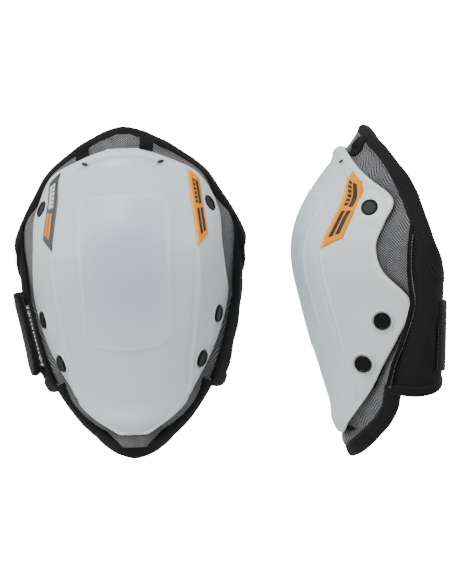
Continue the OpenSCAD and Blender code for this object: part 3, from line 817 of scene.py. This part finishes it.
# The sewn lines: one down each side, and one across above and one below the knee cup.
seam = ((np.abs(np.abs(near_s) - 1.5) < 0.07) | ((np.abs(near_u - 6.0) < 0.16) & (np.abs(near_s) < 1.5))
        | ((np.abs(near_u - 12.2) < 0.2) & (np.abs(near_s) < 1.5)))
loose = (back_away < 4) & (back_away < front_away) & ~seam & (np.abs(near_s) < 2.8)
loose &= (near_u > 1.2) & (near_u < last_station - 1.2)
cloth_frames = 20
most_swell = 3.0
group = maker.vertex_groups.new(name="sewn")
group.add([int(k) for k in np.nonzero(~loose)[0]], 1.0, "REPLACE")
cloth = maker.modifiers.new("cloth", "CLOTH")
cloth.settings.quality = 6
cloth.settings.mass = 0.25
cloth.settings.tension_stiffness = 12
cloth.settings.compression_stiffness = 12
cloth.settings.bending_stiffness = 0.4
cloth.settings.use_pressure = True
cloth.settings.uniform_pressure_force = 4.0
cloth.settings.vertex_group_mass = "sewn"
cloth.settings.effector_weights.gravity = 0.0
cloth.collision_settings.use_collision = False
cloth.point_cache.frame_start = 1
cloth.point_cache.frame_end = cloth_frames
for moment in range(1, cloth_frames + 1):
    bpy.context.scene.frame_set(moment)
cushion_mesh = made_real(maker)
bpy.context.scene.frame_set(1)
swell = places_of(cushion_mesh) / MM - before
size = np.linalg.norm(swell, axis=1, keepdims=True)
swell *= np.minimum(1, most_swell / np.maximum(size, 1e-6))
cushion_mesh.vertices.foreach_set("co", ((before + swell) * MM).ravel())
smoother = maker.modifiers.new("smooth", "SUBSURF")
smoother.levels = 1
cushion_mesh = made_real(maker)
cushion_faces = [tuple(p.vertices) for p in cushion_mesh.polygons]
cushions = add_piece("cushion", puff(places_of(cushion_mesh) / MM), cushion_faces, tricot, "base",
                     ["foam_core", "inner_lining"])
bpy.data.objects.remove(maker)

# Silicone gel, cast clear and tinted blue: it lies hidden between foam and lining.
gel, _, _ = new_material("Cast silicone gel", "3F6FB5", 0.25, Transmission_Weight=0.4, IOR=1.41)
dress("gel_insert", gel)

# ---------------------------------------------------------------- the edge bindings
# A folded knit tape closes the edge of the base. The upper one runs on round the tops of the
# wings, gets wider there and ends in a point at the back; the lower one closes the chin.

binding_reach = 8.0
wing_thick = 5.0
# The wings, in mm: how far out they bulge by height, the heights of their top and bottom
# edges from front to back, and where their back ends lie.
wing_bulge = np.array([[62, 92], [30, 96], [10, 96.5], [-12, 94.5], [-35, 89.5], [-60, 83], [-92, 73]])
wing_top = np.array([[60.0], [46], [29], [17], [12]])
wing_bottom = np.array([[-76.0], [-78], [-76.5], [-73], [-69]])
wing_end_y = 57.0
wing_end_inset = 27.0


def wing_outer(a, b):
    """The right wing's outer face: a from the front seam to the back end, b from top to bottom."""
    a, b = np.broadcast_arrays(np.asarray(a, float), np.asarray(b, float))
    z = mix(along(wing_top, a * 4)[..., 0], along(wing_bottom, a * 4)[..., 0], b)
    m = np.interp(z, wing_bulge[::-1, 0], wing_bulge[::-1, 1])
    start = [np.interp(z, stations[::-1, 0], stations[::-1, 6]) + 0.3,
             np.interp(z, stations[::-1, 0], stations[::-1, 7]) + 0.3]
    ways = []
    for k, (second, third, last) in enumerate(((m + 3, m + 3, m - wing_end_inset),
                                               (38.0, wing_end_y + 1, wing_end_y))):
        ways.append((1 - a) ** 3 * start[k] + 3 * a * (1 - a) ** 2 * second + 3 * a * a * (1 - a) * third
                    + a ** 3 * last)
    return np.stack([ways[0], ways[1], z], -1)


def wing_normal(a, b):
    """The right wing's outward direction."""
    a0, a1 = np.maximum(a - 0.03, 0), np.minimum(a + 0.03, 1)
    b0, b1 = np.maximum(b - 0.03, 0), np.minimum(b + 0.03, 1)
    return unit(np.cross(wing_outer(a, b1) - wing_outer(a, b0), wing_outer(a1, b) - wing_outer(a0, b)))


def wing_point(a, b, depth, side=1):
    """A point depth mm under a wing's outer face."""
    a, b, depth = np.broadcast_arrays(np.asarray(a, float), np.asarray(b, float), np.asarray(depth, float))
    point = wing_outer(a, b) - depth[..., None] * wing_normal(a, b)
    return point * [side, 1, 1]


def edge_frame(u, side):
    """Middle of the base's edge at station u, the way out from it and the way through it."""
    middle_point = under_base(u, side * 3.0, edge_thick / 2)
    through = -inward(form(u, side * 3.0))
    ahead = under_base(min(last_station, u + 0.2), side * 3.0, edge_thick / 2)
    behind = under_base(max(0, u - 0.2), side * 3.0, edge_thick / 2)
    out = unit(np.cross(ahead - behind, through)) * -side
    return [middle_point + out * (binding_reach / 2 + 0.1), out, through]


def wing_frame(a, b, side):
    """The same for a wing's top edge (b = 0) or bottom edge (b = 1)."""
    turn_way = -1 if b > 0.5 else 1
    n = wing_normal(np.array(a), np.array(b))
    t = wing_outer(min(1, a + 0.02), b) - wing_outer(max(0, a - 0.02), b)
    out = unit(np.cross(n, t)) * turn_way
    centre = wing_point(a, b, wing_thick / 2) + out * (binding_reach / 2 + 0.1)
    flipped = np.array([side, 1, 1])
    return [centre * flipped, out * flipped, n * turn_way * flipped]


def end_frame(u, way):
    """The same at the very top or bottom of the base."""
    p = under_base(u, 3.0, edge_thick / 2)
    through = unit(np.array([0, -1.0, 0]) - 0.7 * inward(form(u, 3.0)) * [0, 1, 1])
    out = np.cross([1.0, 0, 0], through)
    out = out * np.sign(out[2]) * way
    return [np.array([0, p[1], p[2]]) + out * (binding_reach / 2 + 0.5), out, through]


def tape(frames, half_width, half_thick, shift, per_step=10):
    """Points, faces, along and round values of a folded tape along a list of edge frames, and
    the path that it follows."""
    frames = np.array(frames).reshape(len(frames), 9)
    t = np.linspace(0, len(frames) - 1, (len(frames) - 1) * per_step + 1)
    dense = along(frames, t)
    centre, out, through = dense[:, :3], unit(dense[:, 3:6]), unit(dense[:, 6:])
    half_width = np.interp(t, np.arange(len(frames)), half_width)
    half_thick = np.interp(t, np.arange(len(frames)), half_thick)
    phi = np.linspace(0, math.tau, 24, endpoint=False)
    wide = np.sign(np.cos(phi)) * np.abs(np.cos(phi)) ** 0.7
    thick = np.sign(np.sin(phi)) * np.abs(np.sin(phi)) ** 0.8
    rings = ((centre + out * (binding_reach / 2 - half_width + shift)[:, None])[:, None]
             + out[:, None] * (half_width[:, None] * wide)[..., None]
             + through[:, None] * (half_thick[:, None] * thick)[..., None])
    run = np.r_[0, np.cumsum(np.linalg.norm(np.diff(centre, axis=0), axis=1))]
    faces = grid_faces(len(t), 24, around=True)
    faces += [tuple(range(24)), tuple((len(t) - 1) * 24 + k for k in range(23, -1, -1))]
    values = {"along_mm": np.repeat(run, 24), "round_mm": np.tile(wide, len(t)) * np.repeat(half_width, 24)}
    return rings.reshape(-1, 3), faces, values, (centre, out, through)


# Ribbed polyester binding tape: matt black, with ribs 1.6 mm apart across it and shallow
# grooves 3.2 mm apart along it.
tape_rib_mm = 1.6
groove_mm = 3.2
binding_tape, tree, shader = new_material("Ribbed knit binding", "050505", 0.8, Sheen_Weight=0.06,
                                          Sheen_Roughness=0.4, Specular_IOR_Level=0.25)
along_mm = add_node(tree, "ShaderNodeAttribute", {"attribute_name": "along_mm"}).outputs["Fac"]
round_mm = add_node(tree, "ShaderNodeAttribute", {"attribute_name": "round_mm"}).outputs["Fac"]
rib_phase = add_node(tree, "ShaderNodeMath", {"operation": "MULTIPLY"}, _0=along_mm,
                     _1=math.tau / tape_rib_mm).outputs[0]
rib_wave = add_node(tree, "ShaderNodeMath", {"operation": "SINE"}, _0=rib_phase).outputs[0]
groove_phase = add_node(tree, "ShaderNodeMath", {"operation": "MULTIPLY"}, _0=round_mm,
                        _1=math.tau / groove_mm).outputs[0]
groove_wave = add_node(tree, "ShaderNodeMath", {"operation": "COSINE"}, _0=groove_phase).outputs[0]
tape_height = add_node(tree, "ShaderNodeMath", {"operation": "MULTIPLY_ADD"}, _0=groove_wave, _1=0.6,
                       _2=rib_wave).outputs[0]
tape_shade = add_node(tree, "ShaderNodeMapRange", _0=tape_height, _1=-1.6, _2=1.6).outputs[0]
tape_colour = add_node(tree, "ShaderNodeValToRGB", Fac=tape_shade, stops=((0.2, "030303"), (0.9, "161617")))
tree.links.new(tape_colour.outputs["Color"], shader.inputs["Base Color"])
tape_relief = add_node(tree, "ShaderNodeBump", Height=tape_shade, Strength=0.8, Distance=0.5 * MM)
tree.links.new(tape_relief.outputs["Normal"], shader.inputs["Normal"])

# The tape's half widths and half thicknesses, in mm, from each wing's seam to its point and
# from there up the base's edge.
wing_stops = [0.3, 0.42, 0.56, 0.7, 0.84, 0.97]
edge_stops = np.linspace(6.4, 0.35, 13)
upper = ([wing_frame(a, 0, 1) for a in wing_stops[::-1]] + [edge_frame(u, 1) for u in edge_stops]
         + [end_frame(0, 1)] + [edge_frame(u, -1) for u in edge_stops[::-1]]
         + [wing_frame(a, 0, -1) for a in wing_stops])
wing_halves = [8.0, 8.5, 9.3, 9.8, 8.0, 1.0]
top_halves = [7.6, 7.6, 7.6, 7.4, 7.0, 6.6, 6.2, 6.0, 5.8, 5.8, 5.8, 5.8, 5.8]
upper_width = wing_halves[::-1] + top_halves + [5.8] + top_halves[::-1] + wing_halves
wing_thicks = [4.6, 3.9, 3.7, 3.6, 3.4, 1.6]
upper_thick = wing_thicks[::-1] + [5.6] * (2 * len(edge_stops) + 1) + wing_thicks
points, faces, values, upper_path = tape(upper, upper_width, upper_thick, 0.4)
add_piece("upper_tape", puff(points), faces, binding_tape, "base", ["upper_binding"],
          values=values)
lower_stops = np.linspace(12.95, last_station - 0.35, 11)
lower = ([edge_frame(u, -1) for u in lower_stops] + [end_frame(last_station, -1)]
         + [edge_frame(u, 1) for u in lower_stops[::-1]])
points, faces, values, lower_path = tape(lower, [7.4] * len(lower), [5.4] * len(lower), 0.2)
add_piece("lower_tape", puff(points), faces, binding_tape, "base", ["lower_binding"],
          values=values)

# ---------------------------------------------------------------- the webbing tabs
# Two short webbing tabs run from under the binding to behind the cap's top rim and hold the
# cover flat there. They are woven strips 11 mm wide, and ride the base.

# Black polypropylene webbing: a dull weave with slanted ribs about 3 mm apart, coarser than
# they are so that they show.
webbing = knit_material("Black woven webbing", "050505", "141414", 2.0, 0.4, 0.05)


def share_at(u, x):
    """The place s across the form where its x is the one asked for."""
    r = along(stations, u)
    a = np.abs(x)
    inner = a / r[..., 2]
    wall = 1 + (a - r[..., 2]) / (r[..., 4] - r[..., 2])
    outer = np.minimum(3, 2 + (a - r[..., 4]) / (r[..., 6] - r[..., 4]))
    return np.sign(x) * np.where(a < r[..., 2], inner, np.where(a < r[..., 4], wall, outer))


webbing_half = 5.5
for name, x, start, stop in (("left_webbing", -36, 1.5, 3.6), ("right_webbing", 20, 0.55, 2.7)):
    u_grid, across_grid = np.meshgrid(np.linspace(start, stop, 24),
                                      np.linspace(-webbing_half, webbing_half, 9), indexing="ij")
    place = share_at(u_grid, x + across_grid)
    points, faces, uv = closed_sheet(under_base(u_grid, place, -1.7), under_base(u_grid, place, -0.1), 0.3)
    add_piece(name, puff(points), faces, webbing, "base", ["webbing_tabs"] if x > 0 else (), uv)

# ---------------------------------------------------------------- the wings
# Each wing is cut from 5 mm neoprene faced with nylon knit. It is sewn to the base's side
# edge, wraps the leg and has a ribbed hem along its lower edge. It rides the base.

# Nylon-faced neoprene: smooth, matt black, with a faint knit grain and a soft sheen.
neoprene, tree, shader = new_material("Nylon-faced neoprene", "080809", 0.7, Sheen_Weight=0.05,
                                      Sheen_Roughness=0.35, Specular_IOR_Level=0.25)
in_pad = add_node(tree, "ShaderNodeAttribute", {"attribute_name": "pad_place"}).outputs["Vector"]
grain = add_node(tree, "ShaderNodeTexNoise", Vector=in_pad, Scale=700.0, Detail=2.0)
knit_relief = add_node(tree, "ShaderNodeBump", Height=grain.outputs["Fac"], Strength=0.5, Distance=0.15 * MM)
tree.links.new(knit_relief.outputs["Normal"], shader.inputs["Normal"])

wing_a, wing_b = np.meshgrid(np.linspace(-0.035, 1, 70), np.linspace(0, 1, 50), indexing="xy")


def soft_folds(a, b):
    """Shallow folds where the wing bends round the leg, in mm."""
    window = smooth_step(a, 0.15, 0.4) * (1 - smooth_step(a, 0.9, 1.0)) * smooth_step(b, 0.1, 0.3)
    broad = 0.9 * np.sin(math.tau * (1.6 * a + 1.1 * b))
    narrow = 0.5 * np.sin(math.tau * (2.9 * b - 1.3 * a))
    return window * (broad + narrow)


hem_stops = np.linspace(0.0, 0.985, 12)
for name, side in (("left", -1), ("right", 1)):
    fold = soft_folds(wing_a, wing_b)
    flush = 1.6 * (1 - smooth_step(wing_a, -0.03, 0.07))
    outer_face = wing_point(wing_a, wing_b, flush - fold, side)
    inner_face = wing_point(wing_a, wing_b, wing_thick - fold * 0.6, side)
    if side > 0:
        outer_face, inner_face = outer_face[:, ::-1], inner_face[:, ::-1]
    points, faces, uv = closed_sheet(outer_face, inner_face, 1.2)
    add_piece(f"{name}_wing_sheet", puff(points), faces, neoprene, "base", [f"{name}_wing"], uv)
    hem_frames = [wing_frame(a, 1, side) for a in hem_stops]
    points, faces, values, _ = tape(hem_frames, [5.4] * len(hem_stops), [3.7] * len(hem_stops), 0.3)
    if side > 0:
        faces = [face[::-1] for face in faces]
    add_piece(f"{name}_hem_tape", puff(points), faces, binding_tape, "base", [f"{name}_hem"],
              values=values)

# ---------------------------------------------------------------- the closure
# An elastic strap is sewn to the right wing, crosses behind the knee and ends in a hook tab
# that sticks to the loop panel on the left wing. A ribbed pull strip is sewn to the tab's end.

strap_mid_z = -34.0
strap_height = 58.0
tab_height = 68.0
strap_thick = 2.8
pile_thick = 0.9
tab_lift = 2 * pile_thick + 0.4
tab_corner = 15.0
wing_run = 118.0


def on_wing(a, z, lift, side):
    """A point lift mm outside a wing at height z."""
    a, z, lift = np.broadcast_arrays(np.asarray(a, float), np.asarray(z, float), np.asarray(lift, float))
    top = along(wing_top, a * 4)[..., 0]
    bottom = along(wing_bottom, a * 4)[..., 0]
    return wing_point(a, (top - z) / (top - bottom), -lift, side)


def band(places, height, low, high, side, corner=0.0):
    """A band on a wing, with rounded corners at its first place if corner is over 0 mm."""
    a, share = np.meshgrid(places, np.linspace(0.5, -0.5, 25), indexing="xy")
    half = np.full(a.shape, height / 2)
    if corner:
        from_end = np.clip(np.abs(a - places[0]) * wing_run, 0, corner)
        half -= corner - np.sqrt(np.maximum(corner ** 2 - (corner - from_end) ** 2, 0))
    z = strap_mid_z + share * 2 * half
    return on_wing(a, z, high, side), on_wing(a, z, low, side)


def sheet_piece(name, front, back, material, body, nodes, rounding):
    """A closed sheet whose front grid faces out."""
    points, faces, uv = closed_sheet(front, back, rounding)
    return add_piece(name, puff(points), faces, material, body, nodes, uv)


# Unnapped nylon loop: a short, curly black pile.
loop_pile = knit_material("Nylon loop pile", "060606", "1A1A1A", 1.8, 0.6, 0.2)
# Woven elastic, polyester over rubber: matt black, with slanted ribs about 3 mm apart.
elastic = knit_material("Woven black elastic", "0A0A0A", "222223", 2.0, 0.4, 0.12)
# Brushed hook tab in loop-faced foam: deep black and fuzzy.
fuzzy = knit_material("Brushed loop-faced tab", "030303", "121212", 2.6, 0.8, 0.15)
# Moulded nylon hooks: a hard black field.
hooks, _, _ = new_material("Moulded nylon hooks", "101010", 0.5)
dress("hook_patch", hooks)

loop_front, loop_back = band(np.linspace(0.14, 0.88, 40), tab_height - 4, 0.05, pile_thick, -1)
sheet_piece("loop_sheet", loop_front, loop_back, loop_pile, "base", ["loop_panel"], 0.2)

tab_places = np.r_[0.10 + 0.1 * np.linspace(0, 1, 14) ** 1.6, np.linspace(0.215, 0.97, 36)]
high = tab_lift + strap_thick
pad_rise = 3.0
fold_thick = 1.6
tab_front, tab_back = band(tab_places, tab_height, tab_lift, high + pad_rise, -1, tab_corner)
tab_thin, _ = band(tab_places, tab_height, tab_lift, high, -1, tab_corner)
tab_front = mix(tab_front, tab_thin, smooth_step(tab_places, 0.75, 0.97)[None, :, None])
round_fold = np.linspace(0.0, 0.16, 8)[1:]
strap_shares = np.linspace(0.5, -0.5, 25)


def behind_knee(t, height, lift):
    """Points of the strap behind the knee: t runs from the right fold to the left one."""
    t, share_grid = np.meshgrid(t, strap_shares, indexing="xy")
    z = strap_mid_z + share_grid * height
    right = on_wing(np.full(t.shape, 0.97), z, lift, 1)
    left = right * [-1, 1, 1]
    point = mix(right, left, t[..., None])
    point[..., 1] -= 2.5 * 4 * t * (1 - t)
    point[..., 2] = z
    return point


tab_front = np.concatenate([tab_front, behind_knee(1 - round_fold, strap_height + 8, high)], 1)
tab_back = np.concatenate([tab_back, behind_knee(1 - round_fold, strap_height + 8, high - fold_thick)], 1)
tabs = sheet_piece("hook_tab_sheet", tab_front, tab_back, fuzzy, None, ["hook_tab"], 1.1)
anchor_places = np.linspace(0.62, 0.965, 22)
a_grid, share_grid = np.meshgrid(anchor_places, strap_shares, indexing="xy")
strap_z = strap_mid_z + share_grid * strap_height
strap_run = np.linspace(0, 0.985, 60)
strap_under = 0.1
strap_over = 2.9
strap_front = np.concatenate([on_wing(a_grid, strap_z, strap_over, 1),
                              behind_knee(strap_run, strap_height, strap_over)], 1)
strap_back = np.concatenate([on_wing(a_grid, strap_z, strap_under, 1),
                             behind_knee(strap_run, strap_height, strap_under)], 1)
straps = sheet_piece("elastic_strap", strap_front[:, ::-1], strap_back[:, ::-1], elastic, None,
                     ["strap_anchor", "back_strap"], 0.5)
# The strap's and the tab's meshes are baked into the shared frame.
for pad, tab, strap in zip(PADS, tabs, straps):
    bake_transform(strap)
    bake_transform(tab)

# Grey ribbed elastic: raised silver-grey ribs on black, 2.2 mm apart.
pull_rib_mm = 2.2
pull_ribs, tree, shader = new_material("Ribbed grey elastic", "3A3A3C", 0.7, Sheen_Weight=0.2)
rib_mm = add_node(tree, "ShaderNodeAttribute", {"attribute_name": "rib_mm"}).outputs["Fac"]
rib_turns = add_node(tree, "ShaderNodeMath", {"operation": "MULTIPLY"}, _0=rib_mm,
                     _1=math.tau / pull_rib_mm).outputs[0]
rib_top = add_node(tree, "ShaderNodeMath", {"operation": "SINE"}, _0=rib_turns).outputs[0]
rib_tone = add_node(tree, "ShaderNodeMapRange", _0=rib_top, _1=-1.0, _2=1.0).outputs[0]
rib_colour = add_node(tree, "ShaderNodeValToRGB", Fac=rib_tone, stops=((0.3, "151516"), (0.9, "67686B")))
tree.links.new(rib_colour.outputs["Color"], shader.inputs["Base Color"])
rib_relief = add_node(tree, "ShaderNodeBump", Height=rib_tone, Strength=0.7, Distance=0.5 * MM)
tree.links.new(rib_relief.outputs["Normal"], shader.inputs["Normal"])
pull_a, pull_share = np.meshgrid(np.linspace(-0.01, 0.125, 30), np.linspace(0.5, -0.5, 40), indexing="xy")
pull_z = strap_mid_z - 2 + pull_share * (tab_height - 16)
pull_lift = 0.9 + 0.25 * np.cos(pull_share * 9.0)
pull_front = on_wing(pull_a, pull_z, pull_lift + 0.9, -1)
pull_back = on_wing(pull_a, pull_z, pull_lift, -1)
points, faces, uv = closed_sheet(pull_front, pull_back, 0.2)
add_piece("pull_tape", puff(points), faces, pull_ribs, "tab", ["pull_strip"], uv,
          {"rib_mm": points[:, 2]})

# ---------------------------------------------------------------- the stitching
# Lock stitches sewn by machine: white on the pull strip, and black along the bindings,
# the wing seams and the strap's anchor. One node tree lays a stitch at even steps on a path.

stitch_tree = bpy.data.node_groups.new("stitch_run", "GeometryNodeTree")
stitch_tree.interface.new_socket("Geometry", in_out="INPUT", socket_type="NodeSocketGeometry")
stitch_inputs = {}
for key in ("Spacing", "Stitch length", "Thread radius"):
    stitch_inputs[key] = stitch_tree.interface.new_socket(key, in_out="INPUT",
                                                          socket_type="NodeSocketFloat").identifier
stitch_inputs["Thread"] = stitch_tree.interface.new_socket("Thread", in_out="INPUT",
                                                           socket_type="NodeSocketMaterial").identifier
stitch_tree.interface.new_socket("Geometry", in_out="OUTPUT", socket_type="NodeSocketGeometry")
given = add_node(stitch_tree, "NodeGroupInput")
path_curve = add_node(stitch_tree, "GeometryNodeMeshToCurve", Mesh=given.outputs["Geometry"])
steps = add_node(stitch_tree, "GeometryNodeResampleCurve", {"mode": "LENGTH"},
                 Curve=path_curve.outputs[0], Length=given.outputs["Spacing"])
bead = add_node(stitch_tree, "GeometryNodeMeshUVSphere", Segments=6, Rings=4, Radius=1.0)
half_long = add_node(stitch_tree, "ShaderNodeMath", {"operation": "MULTIPLY"},
                     _0=given.outputs["Stitch length"], _1=0.5)
bead_size = add_node(stitch_tree, "ShaderNodeCombineXYZ", X=half_long.outputs[0],
                     Y=given.outputs["Thread radius"], Z=given.outputs["Thread radius"])
heading = add_node(stitch_tree, "GeometryNodeInputTangent")
turned = add_node(stitch_tree, "FunctionNodeAlignRotationToVector", {"axis": "X"},
                  Vector=heading.outputs[0])
beads = add_node(stitch_tree, "GeometryNodeInstanceOnPoints", Points=steps.outputs[0],
                 Instance=bead.outputs["Mesh"], Rotation=turned.outputs[0], Scale=bead_size.outputs[0])
solid = add_node(stitch_tree, "GeometryNodeRealizeInstances", Geometry=beads.outputs[0])
coated = add_node(stitch_tree, "GeometryNodeSetMaterial", Geometry=solid.outputs[0],
                  Material=given.outputs["Thread"])
add_node(stitch_tree, "NodeGroupOutput", Geometry=coated.outputs[0])

# Spun polyester thread, white and black: dull and plain.
white_thread, _, _ = new_material("White polyester thread", "D9D9D6", 0.6)
black_thread, _, _ = new_material("Black polyester thread", "0C0C0D", 0.6)


def stitch_run(name, paths, body, thread, spacing, long, radius):
    """Stitches along open paths (mm, pad frame) for both pads."""
    for pad in PADS:
        mesh = bpy.data.meshes.new(f"{pad}_{name}")
        edges, start = [], 0
        for path in paths:
            edges += [(start + k, start + k + 1) for k in range(len(path) - 1)]
            start += len(path)
        mesh.from_pydata(to_row(np.concatenate(paths), pad).tolist(), edges, [])
        obj = bpy.data.objects.new(f"{pad}_{name}", mesh)
        bpy.context.scene.collection.objects.link(obj)
        sewing = obj.modifiers.new("sewing", "NODES")
        sewing.node_group = stitch_tree
        sewing[stitch_inputs["Spacing"]] = spacing * MM
        sewing[stitch_inputs["Stitch length"]] = long * MM
        sewing[stitch_inputs["Thread radius"]] = radius * MM
        sewing[stitch_inputs["Thread"]] = thread
        made_real(obj)
        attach(obj, f"{pad}_{body}")


down = np.linspace(strap_mid_z + 22, strap_mid_z - 26, 30)
pull_runs = [puff(on_wing(np.linspace(0.075, 0.06, 30), down, 2.2, -1))]
box_a = np.linspace(0.045, 0.085, 8)
for z in (down[0], down[0] - 5, down[-1], down[-1] + 5):
    pull_runs.append(puff(on_wing(box_a, np.full(8, z), 2.2, -1)))
stitch_run("white_stitches", pull_runs, "tab", white_thread, spacing=3.6, long=2.7, radius=0.5)

tape_runs = []
for centre, out, through in (upper_path, lower_path):
    inner_edge = centre - out * 8.4 + through * 5.0
    tape_runs.append(puff(inner_edge[8:-8]))
stitch_run("tape_stitches", tape_runs, "base", black_thread, spacing=3.2, long=2.4, radius=0.32)
seam_runs = []
for side in (-1, 1):
    for a in (0.03, 0.055):
        b_run = np.linspace(0.08, 0.94, 40)
        seam_runs.append(puff(wing_point(np.full(40, a), b_run, -0.2, side)))
anchor_z = np.linspace(strap_mid_z + 26, strap_mid_z - 26, 20)
seam_runs.append(puff(on_wing(np.full(20, 0.64), anchor_z, 3.6, 1)))
stitch_run("seam_stitches", seam_runs, "base", black_thread, spacing=3.2, long=2.4, radius=0.35)
